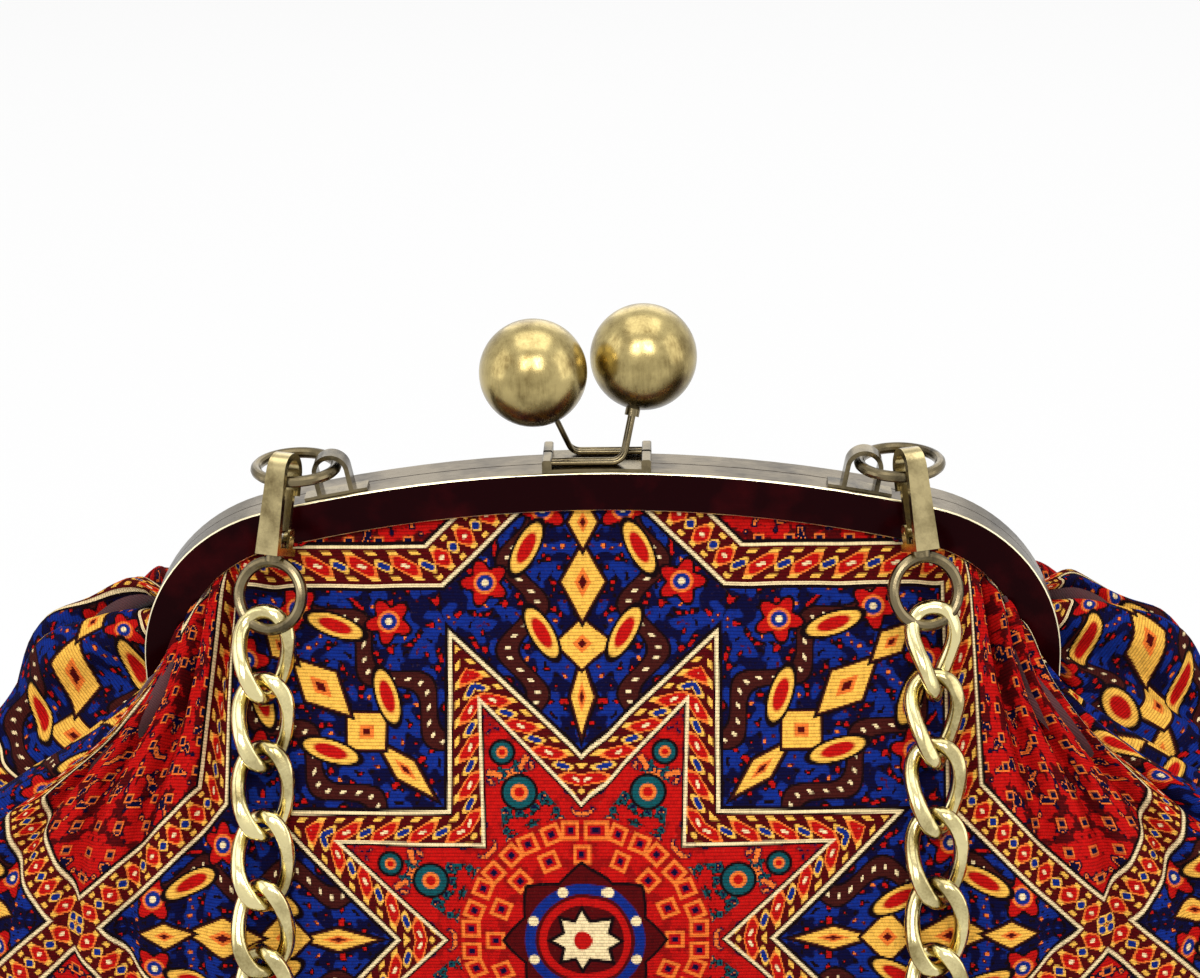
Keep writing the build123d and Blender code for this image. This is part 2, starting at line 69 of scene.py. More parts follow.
# %% Expressions on sockets
class Wire:
    """An output socket that takes part in arithmetic."""

    def __init__(self, finish, socket):
        self.finish = finish
        self.socket = socket

    def math(self, operation, *others, clamp=False):
        return self.finish.math(operation, self, *others, clamp=clamp)

    def __add__(self, other):
        return self.math("ADD", other)

    def __sub__(self, other):
        return self.math("SUBTRACT", other)

    def __mul__(self, other):
        return self.math("MULTIPLY", other)

    def __truediv__(self, other):
        return self.math("DIVIDE", other)

    def __pow__(self, other):
        return self.math("POWER", other)

    def __radd__(self, other):
        return self.finish.math("ADD", other, self)

    def __rsub__(self, other):
        return self.finish.math("SUBTRACT", other, self)

    def __rmul__(self, other):
        return self.finish.math("MULTIPLY", other, self)

    def __rtruediv__(self, other):
        return self.finish.math("DIVIDE", other, self)

    def __neg__(self):
        return self.math("MULTIPLY", -1.0)

    def __abs__(self):
        return self.math("ABSOLUTE")

    def high(self, other):
        return self.math("MAXIMUM", other)

    def kept(self):
        """Held between 0 and 1."""
        return self.math("ADD", 0.0, clamp=True)


class Finish:
    """A material made of nodes, with one method that adds any node."""

    def __init__(self, name, **constants):
        self.material = bpy.data.materials.new(name)
        self.material.use_nodes = True
        self.tree = self.material.node_tree
        self.shader = self.tree.nodes["Principled BSDF"]
        for socket, value in constants.items():
            self.shader.inputs[socket.replace("_", " ")].default_value = value

    def node(self, kind, settings=(), values=(), out=0):
        """A node of that kind. Settings are set first, then the values or links of its sockets."""
        made = self.tree.nodes.new(kind)
        for name, value in dict(settings).items():
            if name == "stops":
                ramp = made.color_ramp
                while len(ramp.elements) < len(value):
                    ramp.elements.new(0.5)
                for element, (place, colour) in zip(ramp.elements, value):
                    element.position = place
                    element.color = (*colour, 1)
            else:
                setattr(made, name, value)
        for key, value in dict(values).items():
            self.join(made.inputs[key], value)
        return Wire(self, made.outputs[out])

    def join(self, socket, value):
        if isinstance(value, Wire):
            self.tree.links.new(value.socket, socket)
        elif isinstance(value, tuple) and len(value) == 3 and socket.type == "RGBA":
            socket.default_value = (*value, 1)
        else:
            socket.default_value = value

    def math(self, operation, *values, clamp=False):
        return self.node("ShaderNodeMath", {"operation": operation, "use_clamp": clamp},
                         dict(enumerate(values)))

    def paint(self, under, over, mask):
        """The colour over on top of under, where mask is 1."""
        return self.node("ShaderNodeMix", {"data_type": "RGBA"}, {0: mask, 6: under, 7: over}, out=2)

    def feed(self, **links):
        for socket, value in links.items():
            self.join(self.shader.inputs[socket.replace("_", " ")], value)

    def place(self):
        """The surface's own coordinates in the object, in metres, as a vector."""
        return self.node("ShaderNodeTexCoord", out=3)

    def split(self, vector):
        separate = self.tree.nodes.new("ShaderNodeSeparateXYZ")
        self.tree.links.new(vector.socket, separate.inputs[0])
        return [Wire(self, output) for output in separate.outputs]

    def grain(self, size, vector, detail=3.0, rough=0.55, stretch=(1, 1, 1)):
        """Noise from 0 to 1 whose spots are about size metres across."""
        scaled = self.node("ShaderNodeVectorMath", {"operation": "MULTIPLY"},
                           {0: vector, 1: tuple(s / size for s in stretch)})
        return self.node("ShaderNodeTexNoise", {}, {"Vector": scaled, "Scale": 1.0, "Detail": detail,
                                                    "Roughness": rough})

    def bump(self, height, distance, strength=1.0):
        return self.node("ShaderNodeBump", {}, {"Height": height, "Distance": distance,
                                                "Strength": strength})


def dyed(red_part, green_part, blue_part):
    """An 8-bit screen colour as the linear numbers that a shader takes."""
    return tuple((c / 255 / 12.92) if c < 11 else ((c / 255 + 0.055) / 1.055) ** 2.4
                 for c in (red_part, green_part, blue_part))


print("shader expressions ready")

# %% [markdown]
# ## Camera
#
# The photograph looks down on the frame by about 22 degrees from 0.64 m away.
# The numbers come from fitting the arch, the balls and the lugs to the picture.
# They are needed early, because the star of the carpet is placed by one pixel.

# %% The photograph's camera
photo_width, photo_height = 1200, 978
camera_azimuth, camera_elevation = radians(2.0), radians(22.0)
camera_roll = radians(-1.2)
camera_distance = 0.642
camera_target = Vector((0.0005, 0, 0.2633))
focal_pixels = 2740.0
sensor = 36.0

look = Vector((-sin(camera_azimuth) * cos(camera_elevation),
               cos(camera_azimuth) * cos(camera_elevation), -sin(camera_elevation)))
level_right = Vector((cos(camera_azimuth), sin(camera_azimuth), 0))
level_up = level_right.cross(look)
camera_right = level_right * cos(camera_roll) + level_up * sin(camera_roll)
camera_up = level_up * cos(camera_roll) - level_right * sin(camera_roll)
camera_place = camera_target - look * camera_distance

camera_data = bpy.data.cameras.new("photo_camera")
camera_data.sensor_width = sensor
camera_data.lens = focal_pixels / photo_width * sensor
camera_data.clip_start = 0.02
camera = bpy.data.objects.new("photo_camera", camera_data)
bpy.context.scene.collection.objects.link(camera)
camera.matrix_world = Matrix((
    (*camera_right,), (*camera_up,), (*(-look),))).transposed().to_4x4()
camera.location = camera_place
bpy.context.scene.camera = camera


def photo_ray(column, row):
    """Direction in which the camera sees one pixel of the photograph."""
    across = (column - photo_width / 2) / focal_pixels
    down = (row - photo_height / 2) / focal_pixels
    return (look + camera_right * across - camera_up * down).normalized()


print("camera at", [round(c, 3) for c in camera_place], "lens", round(camera_data.lens, 1))

# %% [markdown]
# ## The cloth's path from frame to floor
#
# A carpet bag is two gathered panels: each is folded into one half of the
# frame, falls over the shoulder, bellies out and tucks under the base. Plates
# can't show that, so each panel is one lofted surface. Every strand of it
# starts at a place along the frame's arch and follows a curve out and down to
# the hem, and the strands are closer together at the top than at the belly.

# %% The arch that the cloth hangs from
frame_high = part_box("front_frame")[1]
frame_top = frame_high.z
half_width = frame_high.x
face_depth = 9.6 * mm
crown_radius = 330 * mm
corner_radius = 40 * mm
leg_foot = 217 * mm
shoulder_low = 160 * mm
panel_low, panel_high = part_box("front_panel")
body_depth = -panel_low.y
body_width = panel_high.x
crown_centre = frame_top - crown_radius
corner_x = half_width - corner_radius
corner_z = crown_centre + sqrt((crown_radius - corner_radius) ** 2 - corner_x ** 2)
corner_start = atan2(corner_z - crown_centre, corner_x)


def arch(share, inset):
    """Place on the frame's arch at share 0 (left foot) to 1 (right foot), drawn in by inset.

    It gives the place across, its height, and how much the arch faces sideways there.
    """
    crown_length = (crown_radius - inset) * (pi / 2 - corner_start)
    corner_length = (corner_radius - inset) * corner_start
    leg_length = corner_z - leg_foot
    along = abs(share - 0.5) * 2 * (crown_length + corner_length + leg_length)
    hand = 1 if share >= 0.5 else -1
    if along <= crown_length:
        angle = pi / 2 - along / (crown_radius - inset)
        x = (crown_radius - inset) * cos(angle)
        z = crown_centre + (crown_radius - inset) * sin(angle)
    elif along <= crown_length + corner_length:
        angle = corner_start - (along - crown_length) / (corner_radius - inset)
        x = corner_x + (corner_radius - inset) * cos(angle)
        z = corner_z + (corner_radius - inset) * sin(angle)
    else:
        angle = 0.0
        x = half_width - inset
        z = corner_z - (along - crown_length - corner_length)
    return hand * x, z, hand * cos(angle)


print("the frame's corners curve round", round(corner_x, 4), round(corner_z, 4))

# %% [markdown]
# ## One panel
#
# The lower part of each strand runs straight down a rounded oblong. The upper
# part is a smooth curve from the frame's edge to the top of that oblong: at the
# crown it leaves steeply. At the legs the back cloth goes out sideways over the
# bag's shoulder, and the front cloth falls inside the frame.

# %% The body below the shoulder
# Each row is a height in millimetres and the shares of the half width and half depth there
body_rows = ((0, 0.955, 0.90), (5, 0.975, 0.945), (16, 0.99, 0.985), (40, 0.996, 1.0), (80, 1.0, 1.0),
             (120, 1.0, 0.985), (160, 0.978, 0.872))
row_rounding = 0.35
squareness = 2.9
seam_steps = 400


def eased(share):
    """A share from 0 to 1 that starts and ends gently."""
    return share * share * (3 - 2 * share)


def smooth(low, high, value):
    return eased(np.clip((value - low) / (high - low), 0, 1))


def body_size(height):
    """Half width and half depth of the body at a height in millimetres."""
    for low, high in zip(body_rows, body_rows[1:]):
        if height <= high[0]:
            share = max(0.0, (height - low[0]) / (high[0] - low[0]))
            share = eased(share) * row_rounding + share * (1 - row_rounding)
            return (body_width * (low[1] + share * (high[1] - low[1])),
                    body_depth * (low[2] + share * (high[2] - low[2])))
    return body_width * body_rows[-1][1], body_depth * body_rows[-1][2]


def oblong(angle, half_x, half_y):
    """Point of the rounded oblong at an angle from the side seam."""
    power = 2 / squareness
    c, s = cos(angle), sin(angle)
    return (half_x * abs(c) ** power * (1 if c > 0 else -1), half_y * abs(s) ** power)


seam_angles = [pi * step / seam_steps for step in range(seam_steps + 1)]
seam_points = [oblong(angle, *body_size(shoulder_low / mm)) for angle in seam_angles]
seam_lengths = np.concatenate([[0], np.cumsum([
    sqrt((p[0] - q[0]) ** 2 + (p[1] - q[1]) ** 2) for p, q in zip(seam_points, seam_points[1:])])])
panel_width = float(seam_lengths[-1])


def body_angle(share):
    """Angle on the oblong where the strand at that share of the panel's width comes down."""
    return float(np.interp((1 - share) * panel_width, seam_lengths, seam_angles))


print("panel width at the belly", round(panel_width, 3))

# %% [markdown]
# Above the body, each strand is one cubic curve with two pulls: one in the way
# that the cloth leaves the frame, and one up from the body. At the side seams
# both panels close on the middle plane, so that their edges meet.

# %% Strands over the shoulder
# Ways in which the cloth leaves the frame, as shares outwards, to the front and upwards
crown_way = (0.06, -0.42, -0.95)
front_leg_way, back_leg_way = (0.10, -0.95, -0.42), (0.62, -0.85, 0.42)
seam_way = (0.50, -0.05, -0.62)
# How far the ends of a strand pull on it, in millimetres
crown_pull, leg_pull = 22, 12
crown_lift, front_leg_lift, back_leg_lift = 44, 42, 60
seam_draw, seam_lift = 26 * mm, 24 * mm
leg_begins, seam_begins = 0.58, 0.80
seam_closes = 0.20
held_depth = 4.4 * mm
held_clearance = 0.1 * mm


def handed(way, hand):
    return Vector((hand * way[0], way[1], way[2]))


def cubic(a, b, c, d, t):
    s = 1 - t
    return a * (s * s * s) + b * (3 * s * s * t) + c * (3 * s * t * t) + d * (t * t * t)


def strand_point(share, place, t, side):
    """Point of one strand: t from 0 at the frame to 1 at the shoulder's foot."""
    x, z, sideways = arch(place, face_depth + held_clearance)
    hand = 1 if x > 0 else -1
    start = Vector((x, -held_depth, z))
    foot_x, foot_y = oblong(body_angle(share), *body_size(shoulder_low / mm))
    foot = Vector((foot_x, -foot_y, shoulder_low))
    leg = eased(max(0.0, (min(1.0, abs(place - 0.5) * 2) - leg_begins) / (1 - leg_begins)))
    seam = max(0.0, (abs(share - 0.5) * 2 - seam_begins) / (1 - seam_begins))
    leg_way, leg_lift = (back_leg_way, back_leg_lift) if side > 0 else (front_leg_way, front_leg_lift)
    out = Vector((sideways * crown_way[0], crown_way[1], crown_way[2]))
    out = out.lerp(handed(leg_way, hand), leg).lerp(handed(seam_way, hand), seam * seam)
    first = start + out * (crown_pull + leg_pull * leg * (1 - seam)) * mm
    rise = Vector((-hand * seam_draw * seam * seam, 0, (crown_lift + (leg_lift - crown_lift) * leg) * mm))
    rise.z += (seam_lift - rise.z) * seam * seam
    point = cubic(start, first, foot + rise, foot, t)
    closing = min(1.0, t / seam_closes)
    point.y *= 1 - seam ** 3 * closing * closing * (3 - 2 * closing)
    return Vector((point.x, point.y * -side, point.z))


middle_strand = [strand_point(0.5, 0.5, t, -1) for t in (0.0, 1.0)]
print("the middle strand falls from", round(middle_strand[0].z, 3), "to", round(middle_strand[1].z, 3))

# %% [markdown]
# The cloth keeps its own width all the way up. Under the crown a strand hangs
# straight below its place on the frame, so the woven pattern stays true there.
# The spare width is packed into the frame's two corners, which makes the gathers.

# %% Share of the arch that each strand of cloth is fastened to
columns = 361
upper_rows, lower_rows = 44, 40
true_reach, packed_reach = 66 * mm, 98 * mm
true_density, packed_density = 0.96, 0.28

cloth_u = np.linspace(-panel_width / 2, panel_width / 2, columns)
packing = np.interp(np.abs(cloth_u), [true_reach, packed_reach], [true_density, packed_density])
arch_share = np.concatenate([[0], np.cumsum((packing[1:] + packing[:-1]) / 2)])
arch_share /= arch_share[-1]
gathered = (true_density - packing) / (true_density - packed_density)
print("gathered share of the panel", round(float(gathered.mean()), 2))

# %% [markdown]
# Gathers are waves across the strands. They are deep at the frame's corners and
# die away within a hand's width. A few long folds run from the legs to the
# belly. Simulated cloth loses such small gathers in its remesh, so they are
# waves and noise along the cloth's own directions.

# %% Folds
gather_pitch = 21 * mm
gather_depth = 8.5 * mm
gather_root = 5 * mm
gather_fade = 40 * mm
gather_drift, gather_drift_size = 0.55, 45 * mm
gather_sharp_size = 30 * mm
least_gather = 0.10
long_fold_depth = 9.0 * mm
long_fold_width = 34 * mm
long_fold_near, long_fold_far = 60 * mm, 160 * mm
least_long_fold = 0.16
swell_depth, swell_size = 2.4 * mm, 75 * mm
crease_depth, crease_size = 0.35 * mm, 12 * mm
seam_flat = 16 * mm
hem_flat, top_flat = 30 * mm, 50 * mm
upper_crowding, lower_crowding = 1.35, 1.25


def wander(u, v, size, seed):
    """Slow irregularity from -1 to 1 over the cloth."""
    return noise.noise(Vector((u / size, v / size, seed * 7.31)))


def gather_wave(u, d, seed):
    """Share of the gathers' depth at u across the cloth and d down from the frame."""
    phase = u / gather_pitch + gather_drift * wander(u, d * 0.3, gather_drift_size, seed)
    wave = sin(2 * pi * phase) * 0.75 + 0.25 * sin(4 * pi * phase + 1.3)
    sharp = 0.30 + 0.70 * (0.5 + 0.5 * wander(u, 0, gather_sharp_size, seed + 3))
    return wave * (1 - exp(-d / gather_root)) * exp(-d / (gather_fade * (0.7 + 1.1 * sharp)))


def body_fold(u, v, seed):
    """Height of the long slanting folds, the broad swells and the small creases."""
    slant = abs(u) * 0.62 - v * 0.78
    fold = wander(slant, v * 0.22, long_fold_width, seed + 11)
    fold += 0.5 * wander(slant * 1.9, v * 0.3, long_fold_width, seed + 5)
    reach = least_long_fold + (1 - least_long_fold) * float(smooth(long_fold_near, long_fold_far, abs(u)))
    swell = swell_depth * wander(u, v, swell_size, seed + 23)
    return fold * long_fold_depth * reach + swell + crease_depth * wander(u, v, crease_size, seed + 31)


def plain_points(side):
    """Grid of points of one panel before it is folded."""
    points = np.zeros((upper_rows + lower_rows, columns, 3))
    for column in range(columns):
        share = column / (columns - 1)
        for row in range(upper_rows):
            t = (row / upper_rows) ** upper_crowding
            points[row, column] = strand_point(share, float(arch_share[column]), t, side)
        angle = body_angle(share)
        for row in range(lower_rows):
            height = shoulder_low * (1 - row / (lower_rows - 1)) ** lower_crowding
            x, y = oblong(angle, *body_size(height / mm))
            points[upper_rows + row, column] = (x, y * side, height)
    return points


def panel_points(side, seed):
    """Grid of points of one panel and the place up and down of each on the flat cloth."""
    points = plain_points(side)
    rows = len(points)
    steps = np.linalg.norm(np.diff(points, axis=0), axis=2)
    down = np.concatenate([np.zeros((1, columns)), np.cumsum(steps, axis=0)])
    cloth_v = down[upper_rows][None, :] - down
    normal = np.cross(np.gradient(points, axis=1), np.gradient(points, axis=0)) * side
    normal /= np.linalg.norm(normal, axis=2)[..., None] + 1e-12

    shift = np.zeros((rows, columns))
    for row in range(rows):
        for column in range(columns):
            u, v, d = cloth_u[column], cloth_v[row, column], down[row, column]
            packed = least_gather + (1 - least_gather) * gathered[column]
            free = float(smooth(0.0, hem_flat, points[row, column][2])) * float(smooth(0.0, top_flat, d))
            gather = gather_wave(u, d, seed) * gather_depth * packed
            shift[row, column] = gather + body_fold(u, v, seed) * free
    edge = smooth(0.0, seam_flat, panel_width / 2 - np.abs(cloth_u))[None, :]
    points += normal * (shift * edge)[..., None]
    return points, cloth_v


front_points, front_v = panel_points(-1, 4)
back_points, back_v = panel_points(1, 9)
print("panel points", front_points.shape)

# %% [markdown]
# A fold could sink into the brass. Cloth that passes over the frame's outline
# is kept in front of its face, and the rest stays on its own side of the middle.

# %% Cloth in front of the frame's face
crown_zone = 30 * mm
face_stand, least_stand = 7.2 * mm, 0.12 * mm
frame_outside, frame_edge = -5 * mm, -1 * mm
face_end, beyond_face = 9.4 * mm, 10.2 * mm
foot_below, foot_above = 203.5 * mm, 208.5 * mm


def inset_in_frame(x, z):
    """How far inside the frame's outline a place lies."""
    if x < corner_x and z > frame_top - crown_zone:
        return crown_radius - sqrt(x ** 2 + (z - crown_centre) ** 2)
    if z > corner_z:
        return corner_radius - sqrt((x - corner_x) ** 2 + (z - corner_z) ** 2)
    return half_width - x


def clear_of_frame(points, side):
    """Keeps the cloth in front of the frame's face where it passes over it."""
    flat = points.reshape(-1, 3)
    for point in flat:
        inset = inset_in_frame(abs(point[0]), point[2])
        over = float(smooth(frame_outside, frame_edge, inset))
        over *= 1 - float(smooth(face_end, beyond_face, inset))
        over *= float(smooth(foot_below, foot_above, point[2]))
        least = face_stand * over + least_stand
        if point[1] * side < least:
            point[1] = least * side
    return flat.reshape(points.shape)


front_points = clear_of_frame(front_points, -1)
back_points = clear_of_frame(back_points, 1)
print("cloth clear of the frame's faces")

# %% [markdown]
# A sheet without thickness would show no hem and no inner side. Solidify adds
# the thickness inwards, so that the outer face stays where it was made, and puts
# the lining's twill on the inner face.

# %% Panels as thick cloth
cloth_thickness = 1.6 * mm


def add_piece(name, points, faces):
    """A new object from points and faces, with smooth shading."""
    mesh = bpy.data.meshes.new(name)
    mesh.from_pydata([tuple(point) for point in points], [], faces)
    mesh.shade_smooth()
    piece = bpy.data.objects.new(name, mesh)
    bpy.context.scene.collection.objects.link(piece)
    return piece


def mark_cloth(piece, flat):
    """Stores the flat place of the cloth at each point, for the weaver."""
    place = piece.data.attributes.new("cloth_place", "FLOAT_VECTOR", "POINT")
    place.data.foreach_set("vector", np.asarray(flat, np.float32).ravel())


def cloth_panel(name, points, cloth_v, side):
    """A panel's grid as a mesh, with its outer face outwards."""
    rows = points.shape[0]
    faces = []
    for row in range(rows - 1):
        for column in range(columns - 1):
            corner = row * columns + column
            quad = (corner, corner + columns, corner + columns + 1, corner + 1)
            faces.append(quad if side < 0 else quad[::-1])
    piece = add_piece(name, points.reshape(-1, 3), faces)
    flat = np.zeros((rows, columns, 3))
    flat[..., 0] = cloth_u[None, :]
    flat[..., 1] = cloth_v
    flat[..., 2] = side
    mark_cloth(piece, flat)
    return piece


def thicken(piece, thickness):
    """Gives a sheet its thickness inwards, with the second material on its inner face.

    The clamp thins it in the gathers, where points are closer than the cloth is thick.
    """
    solid = piece.modifiers.new("thickness", "SOLIDIFY")
    solid.thickness = thickness
    solid.offset = -1
    solid.thickness_clamp = 1.0
    solid.material_offset = 1
    solid.material_offset_rim = 0


front_cloth = cloth_panel("front_cloth", front_points, front_v, -1)
back_cloth = cloth_panel("back_cloth", back_points, back_v, 1)
for panel in (front_cloth, back_cloth):
    thicken(panel, cloth_thickness)
print("panels", front_cloth.name, back_cloth.name)

# %% [markdown]
# The base is its own piece of cloth with a board on it, so it stays flat. The
# lining is a plain bag inside the other, cut shorter so that the frame can open.
# Above the floor of the bag it is drawn in, because the cloth folds inwards there.

# %% Base and lining
ring_points = 160
base_inset = 2.6 * mm
base_thickness = 1.4 * mm
# Each ring of the base is a share of its width and a height
base_rings = ((0.35, 0.3 * mm), (0.7, 0.3 * mm), (0.93, 0.25 * mm), (0.985, 0.3 * mm), (1.0, 1.2 * mm))
lining_steps = 39
lining_inset = 6.2 * mm
lining_slack = 4.5 * mm
slack_begins, slack_full = 60 * mm, 110 * mm
lining_draw_depth, lining_draw_width, lining_draw_power = 0.56, 0.48, 0.70
ripple_depth, ripples_across, ripples_up = 0.012, 30, 8
lining_thickness = 0.7 * mm


def oblong_ring(height, inset):
    """Points round the body at one height, drawn in by inset."""
    half_x, half_y = body_size(height / mm)
    ring = []
    for step in range(ring_points):
        angle = 2 * pi * step / ring_points
        x, y = oblong(angle, half_x - inset, half_y - inset)
        ring.append((x, y if sin(angle) >= 0 else -y, height))
    return ring


def shell_piece(name, rings, thickness):
    """A cup of rings, one above the other, closed at its foot."""
    points = [point for ring in rings for point in ring]
    faces = []
    for low in range(0, len(points) - ring_points, ring_points):
        for step in range(ring_points):
            a, b = low + step, low + (step + 1) % ring_points
            faces.append((a, b, b + ring_points, a + ring_points))
    foot = len(points)
    points.append((0, 0, rings[0][0][2]))
    faces += [((step + 1) % ring_points, step, foot) for step in range(ring_points)]
    piece = add_piece(name, points, faces)
    mark_cloth(piece, points)
    thicken(piece, thickness)
    return piece


def lining_ring(height, top):
    """Ring of the lining at one height; it narrows from the shoulder to its top."""
    inset = lining_inset + lining_slack * float(smooth(slack_begins, slack_full, height))
    above = min(1.0, max(0.0, (height - shoulder_low) / (top - shoulder_low)))
    narrow_y = 1 - lining_draw_depth * above ** lining_draw_power
    narrow_x = 1 - lining_draw_width * above ** lining_draw_power
    ring = []
    for x, y, _ in oblong_ring(min(height, shoulder_low), inset):
        wave = noise.noise(Vector((x * ripples_across, y * ripples_across, height * ripples_up)))
        ripple = 1 - ripple_depth * (1 + wave)
        ring.append((x * narrow_x * ripple, y * narrow_y * ripple, height))
    return ring


base_cloth = shell_piece("base_cloth", [
    [(x * share, y * share, height) for x, y, _ in oblong_ring(0, base_inset)]
    for share, height in base_rings], base_thickness)
lining_low, lining_high = (corner.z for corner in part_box("lining"))
lining_bag = shell_piece("lining_bag", [
    lining_ring(lining_low + (lining_high - lining_low) * step / lining_steps, lining_high)
    for step in range(lining_steps + 1)], lining_thickness)
print("lining rises to", round(lining_high, 3))

# %% [markdown]
# ## Fine links
#
# The CAD chain has its links in the right places, with few facets and the other
# twist. Each link is found again as a loose part of its node, its own axes are
# measured, and one smooth link is set there. A curb link is an oval that is
# twisted so that its two sides lie on opposite faces, and it is filed flat.

# %% One link
link_half_length, link_half_width, link_wire = 10.0 * mm, 5.65 * mm, 1.85 * mm
link_rise = -2.5 * mm  # below zero, for the hand of the twist in the photograph
link_flat, filed_rounding = 3.3 * mm, 0.15
loop_steps, wire_steps = 40, 14


def fine_link():
    """Points and faces of one link round the origin, lengthways along X."""
    points, faces = [], []
    for i in range(loop_steps):
        turn = 2 * pi * i / loop_steps
        middle = Vector((link_half_length * sin(turn), link_half_width * cos(turn),
                         link_rise * sin(2 * turn)))
        ahead = Vector((link_half_length * cos(turn), -link_half_width * sin(turn),
                        2 * link_rise * cos(2 * turn))).normalized()
        inward = (-middle - ahead * (-middle).dot(ahead)).normalized()
        across = ahead.cross(inward)
        for j in range(wire_steps):
            angle = 2 * pi * j / wire_steps
            point = middle + (inward * cos(angle) + across * sin(angle)) * link_wire
            past_flat = abs(point.z) - link_flat
            if past_flat > 0:
                point.z = (link_flat + past_flat * filed_rounding) * (1 if point.z > 0 else -1)
            points.append(point)
    for i in range(loop_steps):
        for j in range(wire_steps):
            a, b = i * wire_steps + j, i * wire_steps + (j + 1) % wire_steps
            c, d = (a + wire_steps) % len(points), (b + wire_steps) % len(points)
            faces.append((a, b, d, c))
    return points, faces


link_points, link_faces = fine_link()
print("one link has", len(link_faces), "faces")

# %% [markdown]
# The chain of the CAD model is taken apart into its loose links. The middle and
# the axes of each one say where a copy of the fine link goes.

# %% Copies along the chain
def loose_parts(mesh):
    """Groups of a mesh's points that faces join, also across doubled points."""
    coords = np.array([v.co for v in mesh.vertices])
    keys, first = {}, []
    for i, point in enumerate(np.round(coords, 6)):
        first.append(keys.setdefault(tuple(point), i))
    root = list(range(len(coords)))

    def find(i):
        while root[i] != i:
            root[i] = root[root[i]]
            i = root[i]
        return i

    for edge in mesh.edges:
        a, b = find(first[edge.vertices[0]]), find(first[edge.vertices[1]])
        root[a] = b
    groups = {}
    for i in range(len(coords)):
        groups.setdefault(find(first[i]), []).append(i)
    return [coords[members] for members in groups.values()]


def link_axes(part):
    """Place and turn of a link from its own points: longest way first, thinnest last."""
    middle = part.mean(0)
    unique = np.unique(np.round(part - middle, 6), axis=0)
    axes = np.linalg.svd(unique, full_matrices=False)[2]
    along, across = Vector(axes[0]), Vector(axes[1])
    turned = Matrix((along, across, along.cross(across))).transposed().to_4x4()
    return Matrix.Translation(Vector(middle)) @ turned


def fine_chain(name, node):
    """One run of the chain, with a fine link at the place of each CAD link."""
    points, faces = [], []
    parts = loose_parts(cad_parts[node].data)
    for part in parts:
        placed = link_axes(part)
        start = len(points)
        points += [placed @ point for point in link_points]
        faces += [tuple(start + i for i in face) for face in link_faces]
    piece = add_piece(name, points, faces)
    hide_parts(node)
    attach(piece, "bag")
    print(name, "has", len(parts), "links")
    return piece


chains = [fine_chain("left_chain_links", "left_chain_drop"), fine_chain("floor_chain_links", "floor_chain"),
          fine_chain("right_chain_links", "right_chain_drop")]

# %% [markdown]
# ## Balls
#
# The balls are the brightest things in the picture, so their outline has to be
# round at any distance. Each is a fine sphere over the CAD ball, with faint
# dents in it.

# %% Clasp balls
ball_segments, ball_rings = 72, 40
dent_depth, dents_across = 0.03 * mm, 160


def clasp_ball(name, node, body):
    low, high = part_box(node)
    centre, radius = (low + high) / 2, (high.x - low.x) / 2
    mesh = bpy.data.meshes.new(name)
    form = bmesh.new()
    bmesh.ops.create_uvsphere(form, u_segments=ball_segments, v_segments=ball_rings, radius=radius)
    for vertex in form.verts:
        dent = noise.noise(vertex.co * dents_across) * dent_depth
        vertex.co *= 1 + dent / radius
        vertex.co += centre
    form.to_mesh(mesh)
    form.free()
    mesh.shade_smooth()
    piece = bpy.data.objects.new(name, mesh)
    bpy.context.scene.collection.objects.link(piece)
    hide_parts(node)
    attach(piece, body)
    print(name, "radius", round(radius, 4))
    return piece


balls = [clasp_ball("front_ball", "front_clasp_ball", "bag"),
         clasp_ball("back_ball", "back_clasp_ball", "back_half")]

# %% [markdown]
# ## Metal finishes
#
# The fittings are antique brass: bright in worn patches and brown in tarnished ones, with fine brushing. The
# wear comes from noise in the object's own space, so that it stays with a piece when the piece swings. The
# lower half of each ball is darker: a painted dark reflection of the cloth below.

# %% Brass, steel and pale gold
streak_size, speck_size = 0.6 * mm, 0.25 * mm
brush_depth = 0.03 * mm


def metal_finish(name, bright, dark, roughness, spread, brushing, wear_size=9 * mm, stretch=(1, 1, 1),
                 painted_reflection_below=None):
    """Brushed metal with tarnished patches. The last argument is (height, depth, colour) of a painted dark
    reflection on the lower part.
    """
    finish = Finish(name, Metallic=1.0)
    place = finish.place()
    patches = finish.grain(wear_size, place, detail=4)
    streaks = finish.grain(streak_size, place, detail=2, stretch=stretch)
    specks = finish.grain(speck_size, place, detail=2)
    tarnish = ((patches - 0.44) * 3.2 + (streaks - 0.5) * brushing).kept()
    colour = finish.paint(bright, dark, tarnish)
    if painted_reflection_below:
        top, depth, reflected_dark = painted_reflection_below
        height = finish.split(place)[2]
        # Painted dark reflection: the colour darkens below the given height.
        under = ((top - height) / depth + (patches - 0.5) * 0.5).kept()
        colour = finish.paint(colour, reflected_dark, under)
    worn = roughness + (patches - 0.5) * spread + (streaks - 0.5) * 0.18
    finish.feed(Base_Color=colour, Roughness=worn.kept(),
                Normal=finish.bump(streaks * 0.7 + specks * 0.3, brush_depth, 0.5))
    return finish.material


